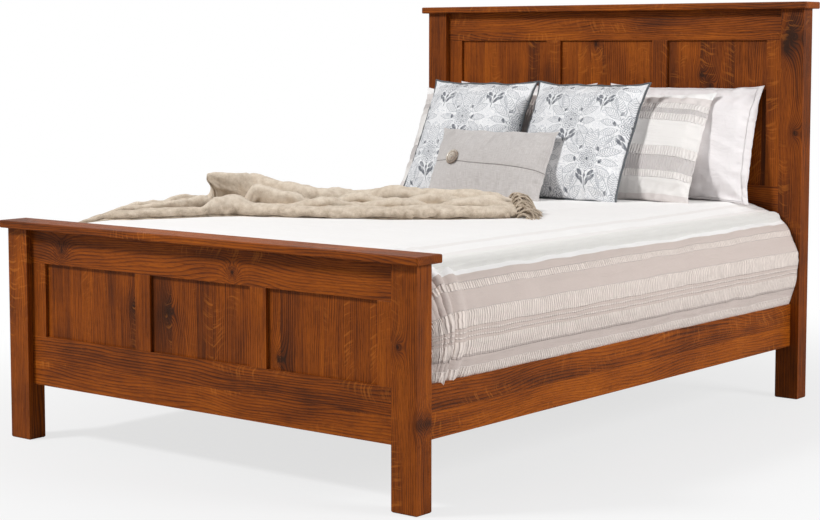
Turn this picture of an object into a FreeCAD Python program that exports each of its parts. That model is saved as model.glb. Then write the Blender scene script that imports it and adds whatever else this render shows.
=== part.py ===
import FreeCAD, Part
import math
import os

import Sketcher

# A queen panel bed in millimetres: +X is the bed's right seen from its foot, +Y runs towards the
# headboard, +Z is up. The origin is on the floor, under the centre of the whole bed.

SIZES = {
    # posts and the space between them
    "posts_across": 1658,        # outer face to outer face
    "post_wide": 88,
    "post_deep": 64,
    "foot_post_high": 672,
    "head_post_high": 1373,
    "foot_chamfer": 3,
    # caps that run over each pair of posts
    "cap_thick": 24,
    "cap_side_overhang": 18,
    "cap_outer_overhang": 21,
    "cap_inner_overhang": 24,
    "cap_chamfer": 2.5,
    "cap_tenon_wide": 26,
    "cap_tenon_thick": 10,
    "cap_tenon_long": 40,
    "cap_tenon_depth": 15,
    "cap_tenon_outset": 25,
    # frame-and-panel work of the headboard and footboard
    "frame_thick": 24,
    "stile_wide": 64,
    "mullion_wide": 64,
    "panel_thick": 7,
    "panel_recess": 10,
    "panel_play": 2,
    "groove_deep": 10,
    "tenon_long": 40,
    "tenon_thick": 10,
    "tenon_shoulder": 12,
    "glue_gap": 1,
    "fit": 0.15,
    "foot_bottom_rail_low": 178,
    "foot_bottom_rail_high": 156,
    "foot_opening_high": 231,
    "foot_top_rail_high": 107,
    "head_bottom_rail_high": 200,
    "head_opening_high": 515,
    "head_band_high": 29,
    "head_top_rail_high": 80,
    "band_shoulder": 6,
    # side rails, ledgers and slats
    "side_rail_long": 2083,
    "side_rail_thick": 25,
    "side_rail_high": 150,
    "side_rail_low": 188,
    "ledger_thick": 22,
    "ledger_high": 38,
    "ledger_end_space": 70,
    "slat_wide": 90,
    "slat_thick": 19,
    "slat_spacing": 300,
    "slat_play": 1,
    # hook-in fittings between the side rails and the posts
    "plate_wide": 20,
    "plate_high": 110,
    "plate_thick": 3,
    "hook_thick": 4,
    "hook_high": 22,
    "hook_reach": 5,
    "hook_drop": 8,
    "hook_spacing": 44,
    "hook_clear": 0.5,
    "plate_screw_spacing": 94,
    # screws
    "screw_radius": 2.2,
    "screw_long": 30,
    "screw_head_radius": 4.5,
    "screw_head_high": 2.5,
    "ledger_screw_spacing": 560,
    # centre legs with screw levelers
    "leg_square": 38,
    "leg_foot_space": 30,
    "insert_radius": 8,
    "insert_long": 12,
    "insert_flange_radius": 12,
    "insert_flange_thick": 1.5,
    "stem_radius": 4,
    "stem_clear": 3.5,
    "stem_high": 60,
    "stem_hex_across": 13,
    "stem_hex_high": 5.5,
    "pad_radius": 15,
    "pad_high": 10,
    "pad_floor": 3,
    "running_gap": 0.08,
    "leveler_travel": 12,
    # mattress and box spring
    "mattress_wide": 1524,
    "mattress_long": 2032,
    "mattress_thick": 215,
    "box_spring_thick": 203,
    "bedding_corner": 30,
    "head_gap": 2,
    # comforter
    "soft_gap": 0.3,
    "comforter_thick": 18,
    "comforter_bulge": 52,
    "comforter_shoulder": 165,
    "comforter_tuck": 38,
    "comforter_head_gap": 5,
    # pillows
    "back_pillow_wide": 655,
    "back_pillow_high": 440,
    "back_pillow_thick": 88,
    "sham_wide": 655,
    "sham_high": 445,
    "sham_thick": 84,
    "square_pillow_side": 485,
    "square_pillow_thick": 118,
    "lumbar_wide": 535,
    "lumbar_high": 290,
    "lumbar_thick": 90,
    "seam_thick": 3,
    "button_radius": 26,
    "button_thick": 6,
    "button_gap": 0.8,
    # throw
    "throw_long": 1370,
    "throw_wide": 370,
    "throw_ridge": 78,
    "throw_heap": 45,
}

V = FreeCAD.Vector
doc = FreeCAD.newDocument("panel_bed")
sheet = doc.addObject("Spreadsheet::Sheet", "dims")
for row, (alias, number) in enumerate(SIZES.items(), start=1):
    sheet.set(f"A{row}", alias)
    sheet.set(f"B{row}", str(number))
    sheet.setAlias(f"B{row}", alias)
doc.recompute()


class Size:
    # A length as a formula on the sheet, with its present value beside it.
    def __init__(self, text, value):
        self.text = text
        self.value = value

    def __add__(self, other):
        other = as_size(other)
        return Size(f"({self.text} + {other.text})", self.value + other.value)

    def __sub__(self, other):
        other = as_size(other)
        return Size(f"({self.text} - {other.text})", self.value - other.value)

    def __mul__(self, other):
        other = as_size(other)
        return Size(f"({self.text} * {other.text})", self.value * other.value)

    def __truediv__(self, other):
        other = as_size(other)
        return Size(f"({self.text} / {other.text})", self.value / other.value)

    def __radd__(self, other):
        return as_size(other) + self

    def __rsub__(self, other):
        return as_size(other) - self

    def __rmul__(self, other):
        return as_size(other) * self

    def __neg__(self):
        return self * -1


def as_size(number):
    if isinstance(number, Size):
        return number
    return Size(f"({number})", float(number))


def cell(alias):
    return Size(f"dims.{alias}", float(sheet.get(alias)))


# ---- places worked out from the driving sizes ----

post_wide = cell("post_wide")
post_deep = cell("post_deep")
frame_thick = cell("frame_thick")
fit = cell("fit")
side_rail_long = cell("side_rail_long")
post_x = (cell("posts_across") - post_wide) / 2
post_y = (side_rail_long + post_deep) / 2
between_posts = cell("posts_across") - 2 * post_wide
opening_wide = (between_posts - 2 * cell("stile_wide") - 2 * cell("mullion_wide")) / 3
panel_front = cell("panel_recess") - frame_thick / 2
panel_back = panel_front + cell("panel_thick")
foot_opening_low = cell("foot_bottom_rail_low") + cell("foot_bottom_rail_high")
foot_opening_top = cell("foot_post_high") - cell("foot_top_rail_high")
head_top_rail_low = cell("head_post_high") - cell("head_top_rail_high")
head_opening_top = head_top_rail_low - cell("head_band_high")
head_opening_low = head_opening_top - cell("head_opening_high")
head_bottom_rail_low = head_opening_low - cell("head_bottom_rail_high")
side_rail_low = cell("side_rail_low")
side_rail_top = side_rail_low + cell("side_rail_high")
rail_inner_x = post_x - cell("side_rail_thick") / 2
slat_low = side_rail_low + cell("ledger_high")
slat_top = slat_low + cell("slat_thick")
mattress_low = slat_top + cell("box_spring_thick")
mattress_top = mattress_low + cell("mattress_thick")
mattress_y = side_rail_long / 2 - cell("head_gap") - cell("mattress_long") / 2
comforter_top = mattress_top + cell("comforter_thick")

nodes = []


# ---- how pieces are drawn ----

def new_body(name, x=0, y=0, z=0, turn=0):
    body = doc.addObject("PartDesign::Body", name)
    body.Label = name
    place(body, x, y, z, FreeCAD.Rotation(V(0, 0, 1), turn))
    return body


def place(piece, x, y, z, rotation=FreeCAD.Rotation()):
    piece.Placement = FreeCAD.Placement(V(0, 0, 0), rotation)
    for axis, distance in (("x", x), ("y", y), ("z", z)):
        piece.setExpression(f"Placement.Base.{axis}", as_size(distance).text)


def attach(body, feature, plane, level):
    # The XZ plane's own normal points along -Y, so its level is counted the other way.
    support = [item for item in body.Origin.OriginFeatures if item.Role == plane][0]
    feature.AttachmentSupport = [(support, "")]
    feature.MapMode = "FlatFace"
    sign = -1 if plane == "XZ_Plane" else 1
    feature.setExpression("AttachmentOffset.Base.z", (as_size(level) * sign).text)


def hold_point(drawing, item, point, u, v):
    # Holds one point of a drawing at its two distances from the origin.
    for kind, distance in (("DistanceX", as_size(u)), ("DistanceY", as_size(v))):
        index = drawing.addConstraint(Sketcher.Constraint(kind, -1, 1, item, point, distance.value))
        drawing.setExpression(f"Constraints[{index}]", distance.text)


def draw_polygon(drawing, corners):
    spots = [V(as_size(u).value, as_size(v).value, 0) for u, v in corners]
    first = drawing.GeometryCount
    count = len(spots)
    for index in range(count):
        drawing.addGeometry(Part.LineSegment(spots[index], spots[(index + 1) % count]), False)
    for index, (u, v) in enumerate(corners):
        following = first + (index + 1) % count
        drawing.addConstraint(Sketcher.Constraint("Coincident", first + index, 2, following, 1))
        hold_point(drawing, first + index, 1, u, v)


def draw_circles(drawing, centres, radius):
    for u, v in centres:
        centre = V(as_size(u).value, as_size(v).value, 0)
        ring = drawing.addGeometry(Part.Circle(centre, V(0, 0, 1), as_size(radius).value), False)
        hold_point(drawing, ring, 3, u, v)
        index = drawing.addConstraint(Sketcher.Constraint("Radius", ring, as_size(radius).value))
        drawing.setExpression(f"Constraints[{index}]", as_size(radius).text)


def ring_corners(radius, u=0, v=0):
    # Small screws and their holes repeat so often that each is drawn with eight flats.
    turns = [math.pi / 4 * index for index in range(8)]
    return [(u + radius * math.cos(turn), v + radius * math.sin(turn)) for turn in turns]


def extrude(body, name, plane, start, length, cut, draw):
    # Pads or pockets a drawing from its start level, always towards the positive axis.
    drawing = body.newObject("Sketcher::SketchObject", name + "_drawing")
    attach(body, drawing, plane, start)
    draw(drawing)
    kind = "PartDesign::Pocket" if cut else "PartDesign::Pad"
    feature = body.newObject(kind, name)
    feature.Profile = drawing
    feature.setExpression("Length", as_size(length).text)
    feature.Reversed = (plane == "XZ_Plane") != cut
    return feature


def prism(body, name, plane, corners, start, length, cut=False):
    return extrude(body, name, plane, start, length, cut,
                   lambda drawing: draw_polygon(drawing, corners))


def holes(body, name, plane, centres, radius, start, length):
    return extrude(body, name, plane, start, length, True,
                   lambda drawing: draw_circles(drawing, centres, radius))


def screw_holes(body, name, plane, centres, radius, start, length):
    def draw(drawing):
        for u, v in centres:
            draw_polygon(drawing, ring_corners(radius, u, v))
    return extrude(body, name, plane, start, length, True, draw)


def rectangle(low_u, low_v, high_u, high_v):
    return [(low_u, low_v), (high_u, low_v), (high_u, high_v), (low_u, high_v)]


def centred(wide, low_v, high_v):
    return rectangle(-wide / 2, low_v, wide / 2, high_v)


def edge_names(body, wanted):
    doc.recompute()
    edges = enumerate(body.Shape.Edges, start=1)
    return [f"Edge{index}" for index, edge in edges if wanted(edge)]


def ease_edges(body, kind, alias, wanted):
    # Rounds or chamfers the edges that are wanted.
    names = edge_names(body, wanted)
    tip = body.Tip
    feature = body.newObject(f"PartDesign::{kind}", kind.lower())
    feature.Base = (tip, names)
    size_name = "Size" if kind == "Chamfer" else "Radius"
    feature.setExpression(size_name, f"dims.{alias}")


def primitive(kind, name, sizes, x, y, z, rotation=FreeCAD.Rotation()):
    piece = doc.addObject(f"Part::{kind}", name)
    for size_name, size in sizes.items():
        piece.setExpression(size_name, as_size(size).text)
    place(piece, x, y, z, rotation)
    return piece


def fuse(name, pieces):
    joined = doc.addObject("Part::MultiFuse", name)
    joined.Shapes = pieces
    joined.Label = name
    return joined


def cut(name, base, tool):
    left = doc.addObject("Part::Cut", name)
    left.Base = base
    left.Tool = tool
    left.Label = name
    return left


def group(name, pieces):
    # Alike pieces that share one node, each still a solid of its own.
    together = doc.addObject("Part::Compound", name)
    together.Links = pieces
    together.Label = name
    nodes.append(together)


def formed(name, shape, x=0, y=0, z=0, rotation=FreeCAD.Rotation()):
    piece = doc.addObject("Part::Feature", name)
    piece.Label = name
    piece.Shape = shape
    place(piece, x, y, z, rotation)
    nodes.append(piece)


# ---- screws, and the seats cut for them ----

FACING = {
    "-X": FreeCAD.Rotation(V(0, 1, 0), -90),
    "+X": FreeCAD.Rotation(V(0, 1, 0), 90),
    "-Y": FreeCAD.Rotation(V(1, 0, 0), 90),
    "+Y": FreeCAD.Rotation(V(1, 0, 0), -90),
    "-Z": FreeCAD.Rotation(V(1, 0, 0), 180),
}
screw_radius = cell("screw_radius")
screw_long = cell("screw_long")
head_radius = cell("screw_head_radius")
head_high = cell("screw_head_high")


def eight_sided(name, radius, long, x, y, z, rotation):
    piece = primitive("Prism", name, {"Circumradius": radius, "Height": long}, x, y, z, rotation)
    piece.Polygon = 8
    return piece


def flat_head(name, x, y, z, driven):
    # A countersunk head: wide at the plate's face and as thin as the shank under it.
    rotation = FACING[driven]
    inward = rotation.multVec(V(0, 0, 1))
    rings = []
    for radius, depth in ((head_radius, 0), (screw_radius, head_high)):
        ring = doc.addObject("Part::RegularPolygon", f"{name}_ring_{len(rings)}")
        ring.Polygon = 8
        ring.setExpression("Circumradius", radius.text)
        place(ring, x + depth * inward.x, y + depth * inward.y, z + depth * inward.z, rotation)
        rings.append(ring)
    head = doc.addObject("Part::Loft", name)
    head.Sections = rings
    head.Solid = True
    head.Ruled = True
    return head


def screw(name, head, x, y, z, driven):
    # The point is where the top of the head lies, and the screw is driven along an axis.
    rotation = FACING[driven]
    shank = eight_sided(name + "_shank", screw_radius, screw_long, x, y, z, rotation)
    if head == "flat":
        top = flat_head(name + "_head", x, y, z, driven)
    else:
        top = eight_sided(name + "_head", head_radius, head_high, x, y, z, rotation)
    return fuse(name, [shank, top])


def seat_screws(body, name, plane, centres, face, inward, hole_long):
    # A counterbore for each head and a hole for each shank, cut inward from the face.
    bore_long = head_high + fit
    bore_start = face if inward > 0 else face - bore_long
    hole_start = face if inward > 0 else face - hole_long
    screw_holes(body, name + "_bores", plane, centres, head_radius + fit, bore_start, bore_long)
    screw_holes(body, name + "_holes", plane, centres, screw_radius + fit, hole_start, hole_long)


# ---- headboard and footboard ----

hook_spacing = cell("hook_spacing")
plate_low = (cell("side_rail_high") - cell("plate_high")) / 2
plate_centre = cell("side_rail_high") / 2
hook_pocket_deep = cell("plate_thick") + cell("hook_reach") + cell("hook_clear") + cell("hook_thick")


def cap_tenon_outline(x, y, play):
    half_thick = cell("cap_tenon_thick") / 2 + play
    half_wide = cell("cap_tenon_wide") / 2 + play
    return rectangle(x - half_thick, y - half_wide, x + half_thick, y + half_wide)


def make_post(name, side, end, high, rails):
    # side is -1 on the left and 1 on the right; end is -1 at the foot and 1 at the head.
    body = new_body(name, post_x * side, post_y * end, 0)
    half_wide = post_wide / 2
    half_deep = post_deep / 2
    prism(body, "blank", "XY_Plane", rectangle(-half_wide, -half_deep, half_wide, half_deep), 0, high)
    mortise_deep = cell("tenon_long") + cell("glue_gap")
    mortise_start = -half_wide if side > 0 else half_wide - mortise_deep
    half_tenon = cell("tenon_thick") / 2 + fit
    for index, (low, rail_high, shoulder) in enumerate(rails):
        opening = rectangle(-half_tenon, low + shoulder - fit,
                            half_tenon, low + rail_high - shoulder + fit)
        prism(body, f"mortise_{index}", "YZ_Plane", opening, mortise_start, mortise_deep, cut=True)
    # the recess for the slotted plate, and the deeper pocket that its hooks drop into
    plate_z = side_rail_low + plate_low
    plate_top = plate_z + cell("plate_high")
    plate_recess = cell("plate_thick")
    recess_start = half_deep - plate_recess if end < 0 else -half_deep
    prism(body, "plate_recess", "XZ_Plane",
          centred(cell("plate_wide") + 2 * fit, plate_z - fit, plate_top + fit),
          recess_start, plate_recess, cut=True)
    pocket_start = half_deep - hook_pocket_deep if end < 0 else -half_deep
    pocket_half = hook_spacing / 2 + cell("hook_high") / 2 + cell("hook_drop") + 1
    middle = side_rail_low + plate_centre
    prism(body, "hook_pocket", "XZ_Plane",
          centred(cell("hook_thick") + 8, middle - pocket_half, middle + pocket_half),
          pocket_start, hook_pocket_deep, cut=True)
    screw_start = half_deep - screw_long - fit if end < 0 else -half_deep
    spots = [(0, middle - cell("plate_screw_spacing") / 2), (0, middle + cell("plate_screw_spacing") / 2)]
    screw_holes(body, "plate_pilots", "XZ_Plane", spots, screw_radius + fit, screw_start,
                screw_long + fit)
    socket_deep = cell("cap_tenon_long") - cell("cap_tenon_depth") + fit
    prism(body, "cap_mortise", "XY_Plane", cap_tenon_outline(cell("cap_tenon_outset") * side, 0, fit),
          high - socket_deep, socket_deep, cut=True)
    ease_edges(body, "Chamfer", "foot_chamfer",
               lambda edge: edge.BoundBox.ZMax < 0.001)
    nodes.append(body)


def make_cap(name, end, z):
    shift = (cell("cap_outer_overhang") - cell("cap_inner_overhang")) / 2 * end
    half_long = cell("posts_across") / 2 + cell("cap_side_overhang")
    half_deep = (post_deep + cell("cap_outer_overhang") + cell("cap_inner_overhang")) / 2
    body = new_body(name, 0, post_y * end + shift, z)
    prism(body, "slab", "XY_Plane", rectangle(-half_long, -half_deep, half_long, half_deep),
          0, cell("cap_thick"))
    ease_edges(body, "Chamfer", "cap_chamfer", lambda edge: True)
    for side, word in ((-1, "left"), (1, "right")):
        outline = cap_tenon_outline((post_x + cell("cap_tenon_outset")) * side, -shift, fit)
        prism(body, f"{word}_mortise", "XY_Plane", outline, 0, cell("cap_tenon_depth") + fit, cut=True)
    nodes.append(body)


def groove_side(edge, inward):
    # The two corners of a panel groove along an edge, and its bottom.
    bottom = edge + cell("groove_deep") * inward
    return bottom, panel_front - fit, panel_back + fit


def make_cross_rail(name, end, low, high, grooved, shoulder):
    # A rail between two posts, with a tenon at each end and a panel groove where one is needed.
    body = new_body(name, 0, post_y * end, low)
    half = frame_thick / 2
    if grooved == "top":
        bottom, front, back = groove_side(high, -1)
        corners = [(-half, 0), (half, 0), (half, high), (back, high),
                   (back, bottom), (front, bottom), (front, high), (-half, high)]
    elif grooved == "bottom":
        bottom, front, back = groove_side(as_size(0), 1)
        corners = [(-half, 0), (front, 0), (front, bottom), (back, bottom),
                   (back, 0), (half, 0), (half, high), (-half, high)]
    else:
        corners = rectangle(-half, 0, half, high)
    prism(body, "board", "YZ_Plane", corners, -between_posts / 2, between_posts)
    tenon = centred(cell("tenon_thick"), shoulder, high - shoulder)
    prism(body, "left_tenon", "YZ_Plane", tenon,
          -between_posts / 2 - cell("tenon_long"), cell("tenon_long"))
    prism(body, "right_tenon", "YZ_Plane", tenon, between_posts / 2, cell("tenon_long"))
    nodes.append(body)


def make_upright(name, end, x, wide, low, high, grooves):
    # A stile or mullion: grooved for its panels, with a tongue at each end in the rail's groove.
    body = new_body(name, x, post_y * end, low)
    half = frame_thick / 2
    right, front, back = groove_side(wide / 2, -1)
    left = -wide / 2 + cell("groove_deep")
    corners = [(-wide / 2, -half), (wide / 2, -half)]
    if "right" in grooves:
        corners += [(wide / 2, front), (right, front), (right, back), (wide / 2, back)]
    corners += [(wide / 2, half), (-wide / 2, half)]
    if "left" in grooves:
        corners += [(-wide / 2, back), (left, back), (left, front), (-wide / 2, front)]
    prism(body, "board", "XY_Plane", corners, 0, high)
    tongue_low = left if "left" in grooves else -wide / 2
    tongue_high = right if "right" in grooves else wide / 2
    tongue = rectangle(tongue_low, panel_front, tongue_high, panel_back)
    tongue_long = cell("groove_deep") - cell("glue_gap")
    prism(body, "lower_tongue", "XY_Plane", tongue, -tongue_long, tongue_long)
    prism(body, "upper_tongue", "XY_Plane", tongue, high, tongue_long)
    nodes.append(body)


def make_panel(name, end, x, low, high):
    # A thin panel that floats in the grooves on all four sides.
    reach = cell("groove_deep") - cell("panel_play")
    body = new_body(name, x, post_y * end, low)
    prism(body, "sheet", "XZ_Plane", centred(opening_wide + 2 * reach, -reach, high + reach),
          panel_front, cell("panel_thick"))
    nodes.append(body)


def make_board(prefix, end, opening_low, opening_high, post_high, rails):
    names = {-1: "left", 1: "right"}
    sockets = [(low, high, shoulder) for _, low, high, _, shoulder in rails]
    for side in (-1, 1):
        make_post(f"{prefix}_post_{names[side]}", side, end, post_high, sockets)
    for rail_name, low, high, grooved, shoulder in rails:
        make_cross_rail(f"{prefix}board_{rail_name}", end, low, high, grooved, shoulder)
    stile_x = (between_posts - cell("stile_wide")) / 2
    mullion_x = (opening_wide + cell("mullion_wide")) / 2
    panel_x = opening_wide + cell("mullion_wide")
    for side in (-1, 1):
        inner = names[-side]
        make_upright(f"{prefix}board_stile_{names[side]}", end, stile_x * side,
                     cell("stile_wide"), opening_low, opening_high, [inner])
        make_upright(f"{prefix}board_mullion_{names[side]}", end, mullion_x * side,
                     cell("mullion_wide"), opening_low, opening_high, ["left", "right"])
    for place_name, step in (("left", -1), ("centre", 0), ("right", 1)):
        make_panel(f"{prefix}board_panel_{place_name}", end, panel_x * step,
                   opening_low, opening_high)
    make_cap(f"{prefix}board_cap", end, post_high)


shoulder = cell("tenon_shoulder")
make_board("foot", -1, foot_opening_low, foot_opening_top - foot_opening_low, cell("foot_post_high"), [
    ("bottom_rail", cell("foot_bottom_rail_low"), cell("foot_bottom_rail_high"), "top", shoulder),
    ("top_rail", foot_opening_top, cell("foot_top_rail_high"), "bottom", shoulder),
])
make_board("head", 1, head_opening_low, cell("head_opening_high"), cell("head_post_high"), [
    ("bottom_rail", head_bottom_rail_low, cell("head_bottom_rail_high"), "top", shoulder),
    ("band", head_opening_top, cell("head_band_high"), "bottom",
     cell("band_shoulder") + cell("groove_deep") / 2),
    ("top_rail", head_top_rail_low, cell("head_top_rail_high"), "none", shoulder),
])


def make_cap_tenons():
    # A loose tenon locks each end of a cap onto its post.
    pieces = []
    below = cell("cap_tenon_long") - cell("cap_tenon_depth")
    for end, high in ((-1, cell("foot_post_high")), (1, cell("head_post_high"))):
        for side in (-1, 1):
            x = (post_x + cell("cap_tenon_outset")) * side - cell("cap_tenon_thick") / 2
            y = post_y * end - cell("cap_tenon_wide") / 2
            sizes = {"Length": cell("cap_tenon_thick"), "Width": cell("cap_tenon_wide"),
                     "Height": cell("cap_tenon_long")}
            pieces.append(primitive("Box", f"cap_tenon_{len(pieces)}", sizes, x, y, high - below))
    group("cap_tenons", pieces)


make_cap_tenons()


# ---- side rails, ledgers and slats ----

ledger_x = rail_inner_x - cell("ledger_thick") / 2
ledger_screw_steps = (-1.5, -0.5, 0.5, 1.5)
frame_screws = []


def make_side_rail(name, side):
    # The left rail is the right one turned half round.
    body = new_body(name, post_x * side, 0, side_rail_low, 0 if side > 0 else 180)
    half_long = side_rail_long / 2
    prism(body, "board", "XZ_Plane", centred(cell("side_rail_thick"), 0, cell("side_rail_high")),
          -half_long, side_rail_long)
    recess = centred(cell("plate_wide") + 2 * fit, plate_low - fit,
                     plate_low + cell("plate_high") + fit)
    deep = cell("plate_thick")
    prism(body, "foot_plate_recess", "XZ_Plane", recess, -half_long, deep, cut=True)
    prism(body, "head_plate_recess", "XZ_Plane", recess, half_long - deep, deep, cut=True)
    gap = cell("plate_screw_spacing") / 2
    spots = [(0, plate_centre - gap), (0, plate_centre + gap)]
    long = screw_long + fit
    screw_holes(body, "foot_pilots", "XZ_Plane", spots, screw_radius + fit, -half_long, long)
    screw_holes(body, "head_pilots", "XZ_Plane", spots, screw_radius + fit, half_long - long, long)
    spots = [(cell("ledger_screw_spacing") * step, cell("ledger_high") / 2)
             for step in ledger_screw_steps]
    screw_holes(body, "ledger_pilots", "YZ_Plane", spots, screw_radius + fit,
                -cell("side_rail_thick") / 2, screw_long - cell("ledger_thick") + fit)
    nodes.append(body)


def make_ledger(name, side):
    body = new_body(name, ledger_x * side, 0, side_rail_low, 0 if side > 0 else 180)
    half_long = side_rail_long / 2 - cell("ledger_end_space")
    half = cell("ledger_thick") / 2
    prism(body, "strip", "XZ_Plane", rectangle(-half, 0, half, cell("ledger_high")),
          -half_long, 2 * half_long)
    spots = [(cell("ledger_screw_spacing") * step, cell("ledger_high") / 2)
             for step in ledger_screw_steps]
    seat_screws(body, "rail_screw", "YZ_Plane", spots, -half, 1, cell("ledger_thick"))
    pilot_long = screw_long - cell("slat_thick") + fit
    spots = [(0, cell("slat_spacing") * step) for step in slat_steps]
    screw_holes(body, "slat_pilots", "XY_Plane", spots, screw_radius + fit,
                cell("ledger_high") - pilot_long, pilot_long)
    nodes.append(body)
    for index, step in enumerate(ledger_screw_steps):
        frame_screws.append(screw(f"{name}_screw_{index}", "pan",
                                  (ledger_x - half) * side, cell("ledger_screw_spacing") * step,
                                  side_rail_low + cell("ledger_high") / 2,
                                  "+X" if side > 0 else "-X"))


slat_steps = range(-3, 4)
leg_steps = (-1, 1)


def make_slat(name, step):
    # Each slat rests on both ledgers, and two of them are screwed down onto a leg.
    y = cell("slat_spacing") * step
    body = new_body(name, 0, y, slat_low)
    half_long = rail_inner_x - cell("slat_play")
    half_wide = cell("slat_wide") / 2
    prism(body, "strip", "XY_Plane", rectangle(-half_long, -half_wide, half_long, half_wide),
          0, cell("slat_thick"))
    spots = [(-ledger_x, 0), (ledger_x, 0)]
    if step in leg_steps:
        spots.append((0, 0))
    seat_screws(body, "screw", "XY_Plane", spots, cell("slat_thick"), -1, cell("slat_thick"))
    nodes.append(body)
    for index, (x, _) in enumerate(spots):
        frame_screws.append(screw(f"{name}_screw_{index}", "pan", x, y, slat_top, "-Z"))


for side, word in ((-1, "left"), (1, "right")):
    make_side_rail(f"side_rail_{word}", side)
    make_ledger(f"ledger_{word}", side)
for number, step in enumerate(slat_steps, start=1):
    make_slat(f"slat_{number}", step)


# ---- hook-in fittings ----

def countersink(body, name, spot, levels):
    # A tapered seat for a flat screw head, between two levels along Y.
    rings = []
    for level, radius in levels:
        ring = body.newObject("Sketcher::SketchObject", f"{name}_ring_{len(rings)}")
        attach(body, ring, "XZ_Plane", level)
        draw_polygon(ring, ring_corners(radius, spot[0], spot[1]))
        rings.append(ring)
    taper = body.newObject("PartDesign::SubtractiveLoft", name)
    taper.Profile = rings[0]
    taper.Sections = rings[1:]
    taper.Ruled = True


screw_spots = [(0, -cell("plate_screw_spacing") / 2), (0, cell("plate_screw_spacing") / 2)]
hook_levels = (-hook_spacing / 2, hook_spacing / 2)
half_plate = cell("plate_high") / 2
turn_to_end = {-1: 0, 1: 180}


def make_hook_plate(name, side, end):
    # Drawn for the foot end: the plate's face is at y = 0, and its hooks reach out along -Y.
    body = new_body(name, post_x * side, side_rail_long / 2 * end,
                    side_rail_low + plate_centre, turn_to_end[end])
    thick = cell("plate_thick")
    prism(body, "plate", "XZ_Plane", centred(cell("plate_wide"), -half_plate, half_plate), 0, thick)
    neck = cell("plate_thick") + cell("hook_clear")
    tip = neck + cell("hook_reach")
    for index, level in enumerate(hook_levels):
        top = level + cell("hook_high") / 2
        low = level - cell("hook_high") / 2
        corners = [(0, top), (0, low), (-neck, low), (-neck, low - cell("hook_drop")),
                   (-tip, low - cell("hook_drop")), (-tip, top - cell("hook_reach")),
                   (-tip + cell("hook_reach") / 2, top)]
        prism(body, f"hook_{index}", "YZ_Plane", corners, -cell("hook_thick") / 2,
              cell("hook_thick"))
    screw_holes(body, "screw_holes", "XZ_Plane", screw_spots, screw_radius + fit, 0, thick)
    for index, spot in enumerate(screw_spots):
        countersink(body, f"countersink_{index}", spot,
                    ((0, head_radius + fit), (head_high + fit, screw_radius + fit)))
    return body


def make_slot_plate(name, side, end):
    # The mating plate lies behind the same face, let into the post, with a slot for each hook.
    body = new_body(name, post_x * side, side_rail_long / 2 * end,
                    side_rail_low + plate_centre, turn_to_end[end])
    thick = cell("plate_thick")
    prism(body, "plate", "XZ_Plane", centred(cell("plate_wide"), -half_plate, half_plate),
          -thick, thick)
    for index, level in enumerate(hook_levels):
        top = level + cell("hook_high") / 2 + cell("hook_drop")
        low = level - cell("hook_high") / 2
        slot = centred(cell("hook_thick") + 2 * cell("hook_clear"), low, top + cell("hook_clear"))
        prism(body, f"slot_{index}", "XZ_Plane", slot, -thick, thick, cut=True)
    screw_holes(body, "screw_holes", "XZ_Plane", screw_spots, screw_radius + fit, -thick, thick)
    for index, spot in enumerate(screw_spots):
        countersink(body, f"countersink_{index}", spot,
                    ((0, head_radius + fit), (-head_high - fit, screw_radius + fit)))
    return body


def make_fittings():
    hook_plates = []
    slot_plates = []
    screws = []
    for end in (-1, 1):
        for side in (-1, 1):
            tag = f"{len(hook_plates)}"
            hook_plates.append(make_hook_plate(f"hook_plate_{tag}", side, end))
            slot_plates.append(make_slot_plate(f"slot_plate_{tag}", side, end))
            into_rail, into_post = ("+Y", "-Y") if end < 0 else ("-Y", "+Y")
            for index, (_, level) in enumerate(screw_spots):
                z = side_rail_low + plate_centre + level
                y = side_rail_long / 2 * end
                screws.append(screw(f"rail_screw_{tag}_{index}", "flat", post_x * side, y, z, into_rail))
                screws.append(screw(f"post_screw_{tag}_{index}", "flat", post_x * side, y, z, into_post))
    group("rail_hook_plates", hook_plates)
    group("post_slot_plates", slot_plates)
    group("bracket_screws", screws)


make_fittings()
group("frame_screws", frame_screws)


# ---- centre legs and their levelers ----

def make_leg(name, y):
    body = new_body(name, 0, y, cell("leg_foot_space"))
    half = cell("leg_square") / 2
    high = slat_low - cell("leg_foot_space")
    prism(body, "blank", "XY_Plane", rectangle(-half, -half, half, half), 0, high)
    centre = [(0, 0)]
    holes(body, "insert_hole", "XY_Plane", centre, cell("insert_radius") + fit,
          0, cell("insert_long") + fit)
    stem_room = cell("stem_high") - cell("leg_foot_space") + cell("leveler_travel") + 2
    holes(body, "stem_hole", "XY_Plane", centre, cell("stem_radius") + cell("stem_clear"), 0, stem_room)
    pilot_long = screw_long - cell("slat_thick") + fit
    screw_holes(body, "screw_pilot", "XY_Plane", centre, screw_radius + fit, high - pilot_long,
                pilot_long)
    nodes.append(body)


def make_insert(name, y):
    # A hex-flanged threaded insert pressed up into the leg's end.
    z = cell("leg_foot_space")
    flange_thick = cell("insert_flange_thick")
    flange = primitive("Prism", name + "_flange",
                       {"Circumradius": cell("insert_flange_radius"), "Height": flange_thick},
                       0, y, z - flange_thick)
    flange.Polygon = 6
    barrel = primitive("Cylinder", name + "_barrel",
                       {"Radius": cell("insert_radius"), "Height": cell("insert_long") + flange_thick},
                       0, y, z - flange_thick)
    bore = primitive("Cylinder", name + "_bore",
                     {"Radius": cell("stem_radius") + cell("running_gap"),
                      "Height": cell("insert_long") + flange_thick + 2},
                     0, y, z - flange_thick - 1)
    return cut(name, fuse(name + "_blank", [flange, barrel]), bore)


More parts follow.
